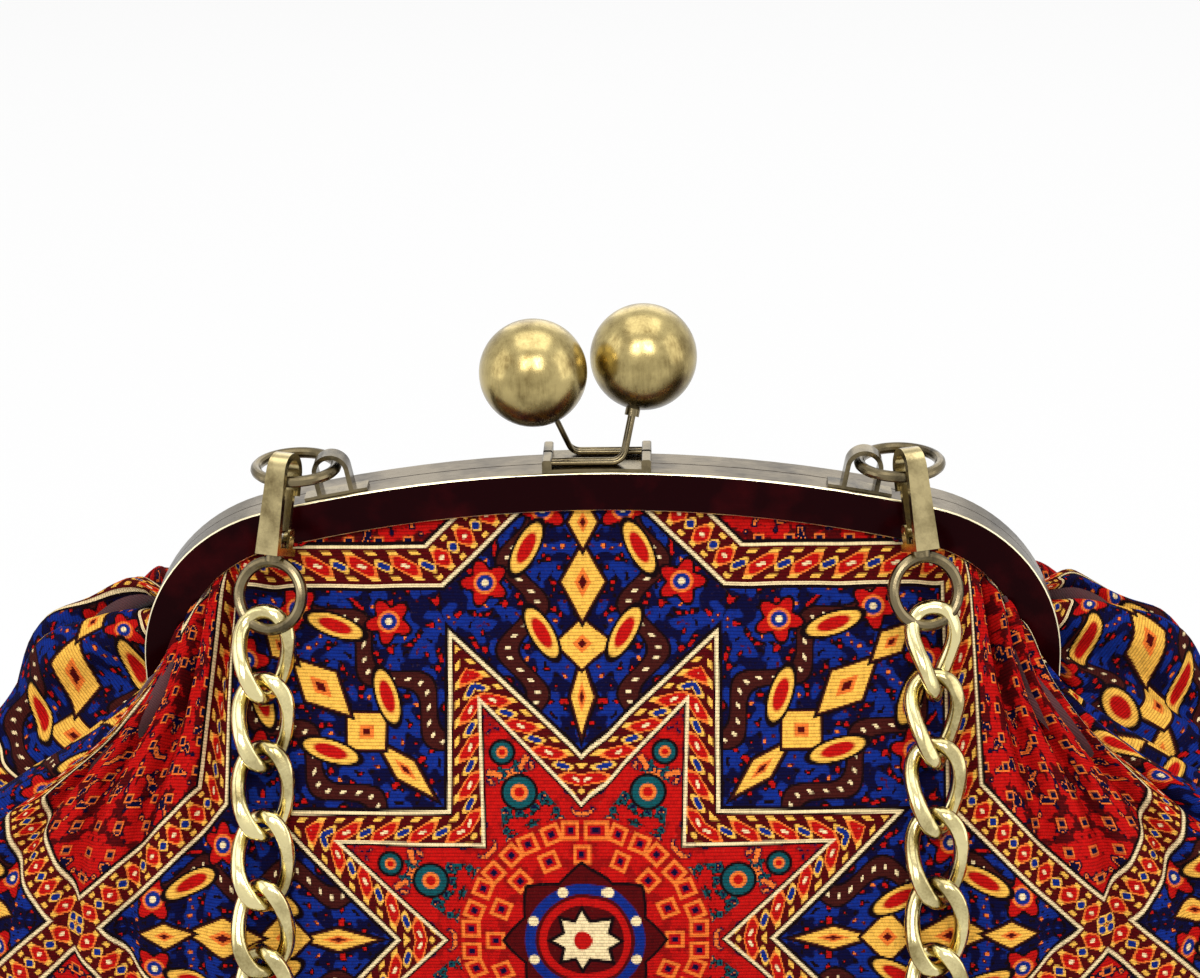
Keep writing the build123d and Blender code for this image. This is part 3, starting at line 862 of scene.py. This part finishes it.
ball_low, ball_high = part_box("front_clasp_ball")
ball_middle = (ball_low.z + ball_high.z) / 2
# The lower half of each ball gets a painted dark reflection of the cloth below.
brushed_ball = metal_finish("brushed_ball_brass", dyed(182, 164, 110), dyed(98, 80, 44), 0.25, 0.10, 0.7,
                            stretch=(1, 1, 0.12), painted_reflection_below=(ball_middle, 11 * mm, dyed(34, 20, 12)))
fitting_brass = metal_finish("fitting_brass", dyed(116, 104, 78), dyed(18, 14, 10), 0.24, 0.12, 0.5)
bright_brass = metal_finish("bright_hook_brass", dyed(186, 170, 124), dyed(84, 68, 38), 0.22, 0.1, 0.5)
spring_steel = metal_finish("spring_steel", dyed(190, 184, 170), dyed(120, 112, 98), 0.3, 0.1, 0.3)
pale_gold = metal_finish("pale_gold_chain", dyed(220, 206, 152), dyed(104, 86, 38), 0.17, 0.10, 0.45,
                         wear_size=14 * mm)
print("metals", brushed_ball.name, fitting_brass.name, bright_brass.name, spring_steel.name, pale_gold.name)

# %% [markdown]
# The frame is pressed brass with three looks. Its top is brushed grey bronze, its front and back faces are
# near-black dark red with a thin coat, and the rolled edge between them has a painted highlight in its
# colour. The way that the surface faces tells them apart.

# %% Frame with dark faces and a painted highlight on its edge
face_turn, edge_turn = 0.86, 0.16
frame_patch, frame_streak, chip_size = 12 * mm, 0.5 * mm, 2.2 * mm


def frame_finish():
    """Bronze, a painted highlight on the edge, and near-black dark red faces, chosen by how far the surface
    faces front or back.
    """
    finish = Finish("frame_with_dark_faces", Specular_IOR_Level=0.02, Coat_Roughness=0.12)
    place = finish.place()
    outward = abs(finish.split(finish.node("ShaderNodeTexCoord", out=1))[1])
    patches = finish.grain(frame_patch, place, detail=4)
    streaks = finish.grain(frame_streak, place, detail=2, stretch=(0.08, 1, 1))
    chips = finish.grain(chip_size, place, detail=4, rough=0.7)
    face = ((outward + (chips - 0.5) * 0.10 - face_turn) * 14).kept()
    # The rolled edge between the top and the faces gets a painted highlight.
    edge_highlight = ((outward - edge_turn) * 6).kept() * (1 - face)
    tarnish = ((patches - 0.42) * 3 + (streaks - 0.5)).kept()
    # The near-white over the bronze is the painted highlight on the rolled edge.
    metal = finish.paint(finish.paint(dyed(103, 92, 72), dyed(46, 38, 26), tarnish), dyed(250, 236, 196),
                         edge_highlight * 0.85)
    dark_face_colour = finish.paint(dyed(24, 1, 3), dyed(54, 4, 7), ((patches - 0.5) * 2.5).kept())
    worn = 0.30 + (patches - 0.5) * 0.12 + (streaks - 0.5) * 0.2 - face * 0.07
    finish.feed(Base_Color=finish.paint(metal, dark_face_colour, face), Metallic=1 - face * 0.92,
                Roughness=worn.kept(), Coat_Weight=face * 0.02, Normal=finish.bump(streaks, 0.02 * mm, 0.4))
    return finish.material


dark_faced_frame = frame_finish()
print("frame finish", dark_faced_frame.name)

# %% [markdown]
# ## Carpet cloth
#
# The cloth is woven in ribs, about 0.8 mm each, so a curve in its pattern is a
# flight of small steps. The flat place of each point is snapped to half a rib
# and half a thread before any shape is drawn. The whole design then comes from
# two folds: the plane folds into a square cell with mirror lines, and the cell
# folds round its centre into one eighth, so each motif is drawn only once.

# %% Where the star's centre lies
star_pixel = (583, 945)


def seen_cloth(pixel):
    """Flat place of the front cloth's point that the camera sees at a pixel."""
    ray = np.array(photo_ray(*pixel))
    away = front_points.reshape(-1, 3) - np.array(camera_place)
    along = away @ ray
    miss = np.linalg.norm(away - along[:, None] * ray, axis=1)
    nearest = int(miss.argmin())
    row, column = divmod(nearest, columns)
    print("star centre at", np.round(front_points[row, column], 3),
          "missed by", round(float(miss[nearest]), 4))
    return float(cloth_u[column]), float(front_v[row, column])


star_centre = seen_cloth(star_pixel)

# %% [markdown]
# Old carpets are dyed in a few strong colours. Each is written as it looks on a screen, toned against the
# photograph, and turned into the linear numbers that a shader takes.

# %% Dyes
red, dark_red, blue, navy = dyed(184, 16, 13), dyed(78, 6, 8), dyed(14, 40, 122), dyed(7, 8, 46)
yellow, orange, cream, teal = dyed(244, 184, 76), dyed(236, 118, 46), dyed(242, 216, 164), dyed(14, 78, 84)
ink, brown = dyed(15, 4, 7), dyed(62, 20, 16)
print("ten dyes, from cream", [round(part, 2) for part in cream], "to ink", [round(part, 3) for part in ink])

# %% [markdown]
# No picture file is used, so the pattern is drawn by nodes. Each shape is a
# distance, below zero inside its outline and above zero outside. Where it
# crosses zero, one dye ends and the next begins.

# %% Drawing tools for the weaver
rib, thread = 0.8 * mm, 0.62 * mm
rib_step, thread_step = 0.4 * mm, 0.31 * mm
cell_half = 121.5


class Carpet(Finish):
    """A finish with the folded coordinates of the pattern and the ways to draw in them, in millimetres."""

    def __init__(self, name, centre, **constants):
        super().__init__(name, **constants)
        flat = self.split(self.node("ShaderNodeAttribute", {"attribute_name": "cloth_place"}, out=1))
        self.u, self.v = flat[0], flat[1]
        self.ribs = (self.v * (1 / rib)).math("FLOOR")
        self.threads = (self.u * (1 / thread)).math("FLOOR")
        x = ((self.u * (1 / thread_step)).math("FLOOR") + 0.5) * (thread_step / mm) - centre[0] / mm
        y = ((self.v * (1 / rib_step)).math("FLOOR") + 0.5) * (rib_step / mm) - centre[1] / mm
        self.x, self.y = abs(x).math("PINGPONG", cell_half), abs(y).math("PINGPONG", cell_half)
        self.radius, self.along, self.aside, self.tip_along, self.tip_aside = self.wedge(self.x, self.y)

    def wedge(self, x, y):
        """Folds round a centre: the radius, then the way along and aside of the nearest spoke.

        The first pair is from the spokes at 0, 45 and 90 degrees, and the second from those between.
        """
        radius = (x * x + y * y).math("SQRT")
        turn = y.math("ARCTAN2", x)
        eighth = pi / 8
        fold = abs((turn + eighth).math("FLOORED_MODULO", 2 * eighth) - eighth)
        other = eighth - fold
        return (radius, radius * fold.math("COSINE"), radius * fold.math("SINE"),
                radius * other.math("COSINE"), radius * other.math("SINE"))

    def star(self, along, aside, tip, notch):
        """Distance outside an eight-pointed star."""
        notch_along, notch_aside = notch * cos(pi / 8), notch * sin(pi / 8)
        length = sqrt((notch_along - tip) ** 2 + notch_aside ** 2)
        return (along - tip) * (notch_aside / length) + aside * ((tip - notch_along) / length)

    def lozenge(self, along, aside, place, half_long, half_wide):
        """Distance outside a lozenge on a spoke."""
        return (abs(along - place) / half_long + abs(aside) / half_wide - 1) * min(half_long, half_wide)

    def oval(self, along, aside, half_long, half_wide):
        """Distance outside an oval at the origin of along and aside."""
        reach = (along / half_long) ** 2 + (aside / half_wide) ** 2
        return (reach - 1) * (min(half_long, half_wide) / 2)

    def spot(self, along, aside, place, offset):
        """Distance from a point."""
        return ((along - place) ** 2 + (aside - offset) ** 2).math("SQRT")

    def within(self, distance, soft=0.25):
        """1 inside a shape and 0 outside, with an edge as soft as a thread."""
        return (0.5 - distance / soft).kept()

    def band(self, distance, middle, half):
        """1 in a band, and 0 on both sides of it."""
        return self.within(abs(distance - middle) - half)

    def noise(self, size, along, aside, layer, detail):
        """Spots of that size that follow the spokes, so that they are mirrored with the motifs."""
        return self.grain(size, self.node("ShaderNodeCombineXYZ", {}, {0: along, 1: aside, 2: layer}),
                          detail=detail)

    def coats(self, colour, distance, *coats):
        """Dyes laid on each other. Each begins that many millimetres inside the shape's outline."""
        for dye, inset in coats:
            colour = self.paint(colour, dye, self.within(distance + inset))
        return colour

    def levels(self, colour, spots, gain, where, *steps):
        """Dyes laid where spots of noise are below each level, sharpened by gain."""
        for dye, level in steps:
            mask = self.within((spots - level) * gain)
            colour = self.paint(colour, dye, mask if where is None else mask * where)
        return colour

    def border(self, colour, offset, count):
        """Roses and small ovals by turns along a band; offset is the distance from its middle line."""
        beat = count.math("SINE")
        lane = abs(offset)
        rose = lane - beat * 2.4
        bud = lane + beat * 2.6
        inner = self.within(lane - 3.9)
        colour = self.paint(colour, dark_red, inner)
        colour = self.paint(colour, orange, self.within(rose - 0.9) * inner)
        colour = self.paint(colour, red, self.within(rose + 0.1) * inner)
        colour = self.paint(colour, cream, self.within(rose + 1.9))
        colour = self.paint(colour, yellow, self.within(bud + 0.9) * inner)
        colour = self.paint(colour, blue, self.within(bud + 1.6) * inner)
        sprigs = self.within(abs(lane - 3.0) - 0.5) * self.within((count * 2).math("COSINE") * 1.8 + 0.4)
        return self.paint(colour, yellow, sprigs)


print("the pattern's cell is", 2 * cell_half, "mm wide")

# %% [markdown]
# The motifs are laid on from the ground up, as a painter would: the blue field
# and what grows in it, the star with its border, the squares, the rosette and
# the small cream star. The outer bands and the corner medallions come last.
# Every place is in millimetres from the star's centre, along a spoke and aside.

# %% The blue field
stem_offset, stem_half, stem_swing, stem_pitch = 13.5, 2.3, 3.4, 0.30
dash_pitch = 2.4
flowers = ((58.0, 20.5), (84.0, 22.0), (101.0, 9.0), (108.0, 30.0))
petals, petal_reach, petal_swell = 5, 4.2, 1.1
# Lozenges as (place, half length, half width), and ovals as (place, aside, tilt)
beads = ((57.0, 9.5, 2.9), (69.5, 6.2, 6.4), (84.0, 9.5, 5.0), (98.0, 6.4, 3.4))
slips = ((72.0, 9.2, 0.5), (92.0, 12.6, -0.45))
slip_half_long, slip_half_wide = 5.6, 2.1


def flower(c, colour, place, offset):
    """A round flower with a ring and a pale heart."""
    spread = c.spot(c.along, c.aside, place, offset)
    bearing = (c.aside - offset).math("ARCTAN2", c.along - place)
    outline = spread - petal_reach - (bearing * petals).math("SINE") * petal_swell
    colour = c.coats(colour, outline, (ink, -0.8), (red, 0.0))
    return c.coats(colour, spread, (orange, -2.6), (blue, -1.9), (cream, -0.8))


def field_motifs(c):
    """The field's blues, its buds, the winding stems, flowers, beads and slips."""
    curls = c.noise(5.2, c.along, c.aside, 0.0, 1)
    buds = c.noise(2.6, c.along, c.aside, 0.0, 1)
    colour = c.levels(blue, curls, 9, None, (navy, 0.50))
    colour = c.levels(colour, buds, 12, None, (ink, 0.41), (red, 0.34))
    colour = c.levels(colour, -buds, 12, None, (dark_red, -0.67), (orange, -0.71))
    swing = (c.along * stem_pitch).math("SINE") * stem_swing
    stem = abs(c.aside - stem_offset - swing) - stem_half
    colour = c.coats(colour, stem, (ink, -0.7), (brown, 0.0))
    dashes = c.within((c.along * dash_pitch).math("SINE") * -1.6 + 1.0) * c.within(stem + 1.7)
    colour = c.paint(colour, cream, dashes)
    for place, offset in flowers:
        colour = flower(c, colour, place, offset)
    for place, long, wide in beads:
        bead = c.lozenge(c.along, c.aside, place, long, wide)
        colour = c.coats(colour, bead, (ink, -0.8), (brown, -0.2), (yellow, 0.3), (orange, wide * 0.62),
                         (dark_red, wide * 0.80))
    for place, offset, tilt in slips:
        near, far = c.along - place, c.aside - offset
        slip = c.oval(near * cos(tilt) + far * sin(tilt), far * cos(tilt) - near * sin(tilt),
                      slip_half_long, slip_half_wide)
        colour = c.coats(colour, slip, (ink, -1.1), (yellow, -0.3), (red, 0.5))
    return colour


print(len(flowers), "flowers,", len(beads), "lozenges and", len(slips), "ovals beside each spoke")

# %% [markdown]
# The star has eight arms. A border of roses and ovals runs along its outline,
# and rings of squares, a rosette and a small cream star fill its middle.

# %% The red star
# Stars as (tip, notch), from the middle
star_outline, star_field, bloom_outline = (79.0, 43.7), (59.0, 31.0), (53.0, 25.0)
border_middle = 5.0
arm_begins = 29.5
eyes = ((38.0, 3.6), (48.0, 2.4))
square_rings = ((20.6, 0.0), (26.2, 2.9))
square_half = 2.2
rosette_radius, rosette_wave = 16.2, 1.5
bead_ring, bead_ring_half, red_ring, red_ring_half = 12.6, 1.2, 9.6, 0.9
heart_outline, heart_dot = (7.2, 4.7), 2.4


def star_arms(c, leaves):
    """The red of the star with leaves and eyes in its arms."""
    arm = c.within(arm_begins - c.radius)
    bloom = arm * c.within(c.star(c.tip_along, c.tip_aside, *bloom_outline))
    colour = c.paint(red, dark_red, c.within((leaves - 0.45) * 7) * 0.45)
    colour = c.levels(colour, leaves, 10, bloom, (ink, 0.47), (teal, 0.44))
    colour = c.levels(colour, leaves, 10, arm, (navy, 0.38), (orange, 0.335))
    for place, size in eyes:
        spread = c.spot(c.tip_along, c.tip_aside, place, 0.0)
        colour = c.coats(colour, spread, (ink, -size - 0.7), (teal, -size), (orange, size * -0.55),
                         (red, size * -0.32))
    return colour


def star_motifs(c, colour, leaves):
    """The star, its border of roses, and the rings of squares and rosette in its middle."""
    outer = c.star(c.tip_along, c.tip_aside, *star_outline)
    inner = c.star(c.tip_along, c.tip_aside, *star_field)
    colour = c.coats(colour, outer, (ink, -0.9), (cream, 0.0), (ink, 0.8))
    colour = c.border(colour, outer + border_middle, c.tip_along * 0.95 + c.tip_aside * 0.4)
    colour = c.coats(colour, inner, (cream, -1.2), (ink, -0.5))
    field = c.within(inner)
    colour = c.paint(colour, star_arms(c, leaves), field)
    for ring, lift in square_rings:
        for along, aside in ((c.along, c.aside), (c.tip_along, c.tip_aside)):
            square = abs(along - ring).high(abs(aside - lift)) - square_half
            for dye, inset in ((orange, 0.0), (red, 0.8), (navy, 1.5)):
                colour = c.paint(colour, dye, c.within(square + inset) * field)
    rosette = c.radius - (rosette_radius + (c.along - c.tip_along) * rosette_wave)
    colour = c.coats(colour, rosette, (ink, -0.8), (dark_red, 0.0))
    colour = c.paint(colour, blue, c.band(c.radius, bead_ring, bead_ring_half))
    pearl = c.oval(c.tip_along - 12.7, c.tip_aside, bead_ring_half, bead_ring_half)
    colour = c.paint(colour, cream, c.within(pearl))
    colour = c.paint(colour, red, c.band(c.radius, red_ring, red_ring_half))
    colour = c.coats(colour, c.star(c.along, c.aside, *heart_outline), (ink, -0.9), (cream, 0.0))
    return c.coats(colour, c.radius, (red, -heart_dot))


print("the star is", 2 * star_outline[0], "mm from tip to tip")

# %% [markdown]
# Bands cross the cloth beyond the star and cut off the corners of each cell.
# Four cells meet at a corner, so what is drawn there becomes a whole medallion.

# %% Outer bands and corner medallions
band_place, diagonal = 88.0, 0.7071
band_half, line_width, outline_width = 4.2, 0.8, 0.8
lattice_pitch = 0.92
medallion_outline = (46.0, 33.0)
yellow_heart, blue_heart = (12.0, 8.0), (8.5, 5.5)


def corner_field(c, leaves):
    """The red corners with their lattice, and the medallion where four cells meet."""
    far_along, far_aside, far_tip, far_tip_aside = c.wedge(cell_half - c.x, cell_half - c.y)[1:]
    sprays = c.noise(4.4, far_along, far_aside, 4.0, 1)
    colour = c.levels(red, leaves, 7, None, (dark_red, 0.46))
    colour = c.levels(colour, sprays, 10, None, (ink, 0.42), (navy, 0.40))
    colour = c.paint(colour, orange, c.within(abs(sprays - 0.36) * 40 - 0.5))
    lattice = (c.x * lattice_pitch).math("SINE").high((c.y * lattice_pitch).math("SINE")) * 2
    colour = c.coats(colour, lattice, (orange, 0.9), (navy, 1.5))
    medallion = c.star(far_along, far_aside, *medallion_outline)
    for dye, middle, half in ((ink, -1.8, 3.4), (cream, 0.0, 0.7), (navy, -2.8, 1.5),
                              (orange, -2.8, (far_along * 1.3).math("SINE") * 1.2 + 0.2)):
        colour = c.paint(colour, dye, c.band(medallion, middle, half))
    for dye, outline in ((yellow, yellow_heart), (blue, blue_heart)):
        colour = c.paint(colour, dye, c.within(c.star(far_tip, far_tip_aside, *outline)))
    return colour


def outer_bands(c, colour, leaves):
    """Bands along the cell's sides and across its corner, with the corner field beyond them."""
    beyond = ((c.x.high(c.y) - band_place) * -1).high((cell_half - c.x - c.y) * diagonal)
    colour = c.paint(colour, corner_field(c, leaves), c.within(beyond))
    for dye, half in ((ink, band_half + line_width + outline_width), (cream, band_half + line_width),
                      (dark_red, band_half)):
        colour = c.paint(colour, dye, c.band(beyond, 0.0, half))
    return c.border(colour, beyond, (c.x - c.y) * 0.62)


print("bands cross", band_place, "mm from the star's centre")

# %% [markdown]
# Up close, the cloth is rows of short yarns. Nodes paint shade into the hollows between ribs and threads,
# tint single threads and add a pale fuzz. Modelling each yarn would take millions of faces and show no more
# from here.

# %% The woven finish
weave_depth = 0.22 * mm
fuzz_size = 0.9 * mm


def weave(c, colour):
    """Yarn: each thread takes the dye a little differently, and the ribs shade each other."""
    flecks = c.noise(1.0, c.threads * 0.61, c.ribs * 0.73, 0.0, 1)
    across_rib = abs((c.v * (1 / rib)).math("FRACT") - 0.5) * 2
    across_thread = abs((c.u * (1 / thread) + c.ribs * 0.5).math("FRACT") - 0.5) * 2
    shade = (across_rib ** 3) * 0.44 + (across_thread ** 4) * 0.18
    # Painted shade in the hollows between ribs and threads, mixed with the dye flecks of single threads.
    colour = c.paint(colour, ink, (shade + (flecks - 0.44) * 0.8).kept())
    fuzz = c.grain(fuzz_size, c.place(), detail=4, rough=0.7)
    colour = c.paint(colour, dyed(200, 150, 120), ((fuzz - 0.62) * 0.5).kept())
    height = (1 - across_rib ** 2) * 0.75 + (1 - across_thread ** 2) * 0.25 + (fuzz - 0.5) * 0.3
    c.feed(Base_Color=colour, Roughness=(0.82 + (fuzz - 0.5) * 0.2).kept(),
           Normal=c.bump(height, weave_depth, 0.7))


def carpet_finish(name, centre):
    c = Carpet(name, centre, Specular_IOR_Level=0.04)
    leaves = c.noise(3.6, c.tip_along, c.tip_aside, 9.0, 2)
    colour = star_motifs(c, field_motifs(c), leaves)
    weave(c, outer_bands(c, colour, leaves))
    return c.material


carpet = carpet_finish("star_carpet", star_centre)
print("carpet finish has", len(carpet.node_tree.nodes), "nodes")

# %% [markdown]
# ## Lining and board
#
# Neither shows in the picture. The lining is a plain dark twill, with fine
# slanted ribs, and the board under it is grey pressed card.

# %% Twill and card
twill_pitch, twill_spot, twill_depth = 0.9 * mm, 6 * mm, 0.12 * mm
card_fleck, card_depth = 1.4 * mm, 0.1 * mm


def twill_finish():
    finish = Finish("dark_twill", Sheen_Weight=0.2)
    place = finish.place()
    x, y, z = finish.split(place)
    slant = abs(((x + y + z) * (1 / twill_pitch)).math("FRACT") - 0.5) * 2
    spots = finish.grain(twill_spot, place)
    dark = (slant * 0.5 + (spots - 0.4)).kept()
    finish.feed(Base_Color=finish.paint(dyed(74, 22, 26), dyed(38, 10, 14), dark),
                Roughness=(0.72 + slant * 0.15).kept(), Normal=finish.bump(slant, twill_depth, 0.6))
    return finish.material


def card_finish():
    finish = Finish("pressed_card")
    flecks = finish.grain(card_fleck, finish.place(), detail=4)
    dark = ((flecks - 0.4) * 2).kept()
    finish.feed(Base_Color=finish.paint(dyed(150, 128, 98), dyed(102, 84, 62), dark),
                Roughness=(0.85 + (flecks - 0.5) * 0.15).kept(), Normal=finish.bump(flecks, card_depth, 0.5))
    return finish.material


twill, card = twill_finish(), card_finish()
print("lining and board", twill.name, card.name)

# %% [markdown]
# ## Finishes for every piece, and bodies for the front cloth, base and lining
#
# The front cloth moves with the front half of the frame, which the bag is built on, and so do the base and
# the lining. The back cloth hangs from both halves: near its frame half it would turn with it, and at the
# belly it would stay. Here it gets no body, and its place is baked into its points.

# %% Finishes and bodies
def dress(piece, *finishes):
    piece.data.materials.clear()
    for finish in finishes:
        piece.data.materials.append(finish)


def fitting_finish(name):
    """Finish of a CAD piece that is shown as it is."""
    if name in ("front_frame", "back_frame"):
        return dark_faced_frame
    if name == "base_board":
        return card
    if "spring" in name:
        return spring_steel
    if "hook" in name or "gate" in name:
        return bright_brass
    return fitting_brass


for piece in (front_cloth, back_cloth, base_cloth):
    dress(piece, carpet, twill)
dress(lining_bag, twill, twill)
for piece in chains:
    dress(piece, pale_gold)
for piece in balls:
    dress(piece, brushed_ball)
replaced = {"front_panel", "back_panel", "bottom_panel", "lining", "left_chain_drop", "floor_chain",
            "right_chain_drop", "front_clasp_ball", "back_clasp_ball"}
for name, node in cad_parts.items():
    if name not in replaced:
        dress(node, fitting_finish(name))

for piece, node, slot in ((front_cloth, "front_panel", "carpet_cloth"),
                          (back_cloth, "back_panel", "carpet_cloth"),
                          (base_cloth, "bottom_panel", "carpet_cloth"),
                          (lining_bag, "lining", "lining_cloth")):
    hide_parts(node)
for piece in (front_cloth, base_cloth, lining_bag):
    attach(piece, "bag")
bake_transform(back_cloth)

# %% [markdown]
# Each panel was cut flat, as wide as the belly and as long as a strand, before it was gathered into the
# frame.

# %% The cut of the cloth
cut_length = float(front_v[0].max() - front_v[-1].min())
print("each panel was cut", round(panel_width, 3), "by", round(cut_length, 3))

# %% [markdown]
# ## Floor and light
#
# The picture is a studio shot on white. Two tall soft boxes side by side in
# front give the pair of soft windows in each ball, a wide one overhead fills
# the cloth, and a dim one behind draws the edge. The floor shows as white to
# the camera and to the metal, and still takes a shadow.

# %% White floor
floor_reach = 6.0
floor_drop = 0.3 * mm
floor_grey = 0.86
white_share = 0.9


def white_floor():
    """A floor that is mostly white light to the camera, and plain grey paint to the lamps."""
    corners = [(-floor_reach, -floor_reach, 0), (floor_reach, -floor_reach, 0),
               (floor_reach, floor_reach, 0), (-floor_reach, floor_reach, 0)]
    floor = add_piece("studio_floor", corners, [(0, 1, 2, 3)])
    floor.location.z = -floor_drop
    finish = Finish("white_floor", Roughness=0.9)
    finish.shader.inputs["Base Color"].default_value = (floor_grey, floor_grey, floor_grey, 1)
    rays = finish.node("ShaderNodeLightPath").socket.node.outputs
    camera_ray, glossy_ray, clear_ray = (
        Wire(finish, rays[kind]) for kind in ("Is Camera Ray", "Is Glossy Ray", "Is Transmission Ray"))
    white = finish.node("ShaderNodeEmission", {}, {"Color": (1.0, 1.0, 1.0), "Strength": 1.0})
    seen = (camera_ray + glossy_ray + clear_ray).kept() * white_share
    mixed = finish.node("ShaderNodeMixShader", {}, {0: seen})
    links, made = finish.tree.links, mixed.socket.node
    links.new(finish.shader.outputs[0], made.inputs[1])
    links.new(white.socket, made.inputs[2])
    links.new(mixed.socket, finish.tree.nodes["Material Output"].inputs["Surface"])
    floor.data.materials.append(finish.material)


white_floor()
print("floor laid", floor_drop, "m under the base")

# %% [markdown]
# A soft box is an area lamp with a wide face, which gives broad highlights with
# soft edges. Each is turned to the middle of the bag.

# %% Soft boxes
bag_middle = (0, 0, 0.2)
# Each lamp is a place, a width, a height and a power in watts
lamps = {
    "left_window": ((-0.36, -1.15, 1.25), 0.42, 0.62, 9.0),
    "right_window": ((0.30, -1.15, 1.25), 0.42, 0.62, 9.0),
    "overhead": ((0, 0.1, 1.9), 1.8, 1.4, 14.0),
    "left_fill": ((-1.5, -0.3, 0.8), 1.0, 1.4, 6.0),
    "right_fill": ((1.5, -0.3, 0.8), 1.0, 1.4, 6.0),
    "behind": ((0.0, 1.6, 1.0), 1.6, 1.0, 6.0),
}


def soft_box(name, place, width, height, power):
    """A lamp with a wide face, turned to the middle of the bag."""
    data = bpy.data.lights.new(name, "AREA")
    data.shape, data.size, data.size_y, data.energy = "RECTANGLE", width, height, power
    lamp = bpy.data.objects.new(name, data)
    bpy.context.scene.collection.objects.link(lamp)
    lamp.location = place
    lamp.rotation_mode = "QUATERNION"
    lamp.rotation_quaternion = (Vector(bag_middle) - Vector(place)).to_track_quat("-Z", "Y")


for name, (place, width, height, power) in lamps.items():
    soft_box(name, place, width, height, power)
print("soft boxes", ", ".join(lamps))

# %% [markdown]
# The room is white to the camera and in the metal's reflections. To the cloth
# it is dimmer, so that the lamps draw the folds.

# %% White room
dim_room, white_room = 0.35, 1.0


def studio_world():
    """A white background that lights the cloth less than it shows."""
    world = bpy.data.worlds.new("studio")
    world.use_nodes = True
    sky = world.node_tree
    background = sky.nodes["Background"]
    background.inputs["Color"].default_value = (1, 1, 1, 1)
    rays = sky.nodes.new("ShaderNodeLightPath")
    both = sky.nodes.new("ShaderNodeMath")
    both.operation = "ADD"
    sky.links.new(rays.outputs["Is Camera Ray"], both.inputs[0])
    sky.links.new(rays.outputs["Is Transmission Ray"], both.inputs[1])
    seen = sky.nodes.new("ShaderNodeMath")
    seen.operation, seen.use_clamp = "ADD", True
    sky.links.new(both.outputs[0], seen.inputs[0])
    sky.links.new(rays.outputs["Is Glossy Ray"], seen.inputs[1])
    strength = sky.nodes.new("ShaderNodeMath")
    strength.operation = "MULTIPLY_ADD"
    sky.links.new(seen.outputs[0], strength.inputs[0])
    strength.inputs[1].default_value = white_room - dim_room
    strength.inputs[2].default_value = dim_room
    sky.links.new(strength.outputs[0], background.inputs["Strength"])
    return world


bpy.context.scene.world = studio_world()
bpy.context.scene.view_settings.view_transform = "Standard"
print("room", bpy.context.scene.world.name)
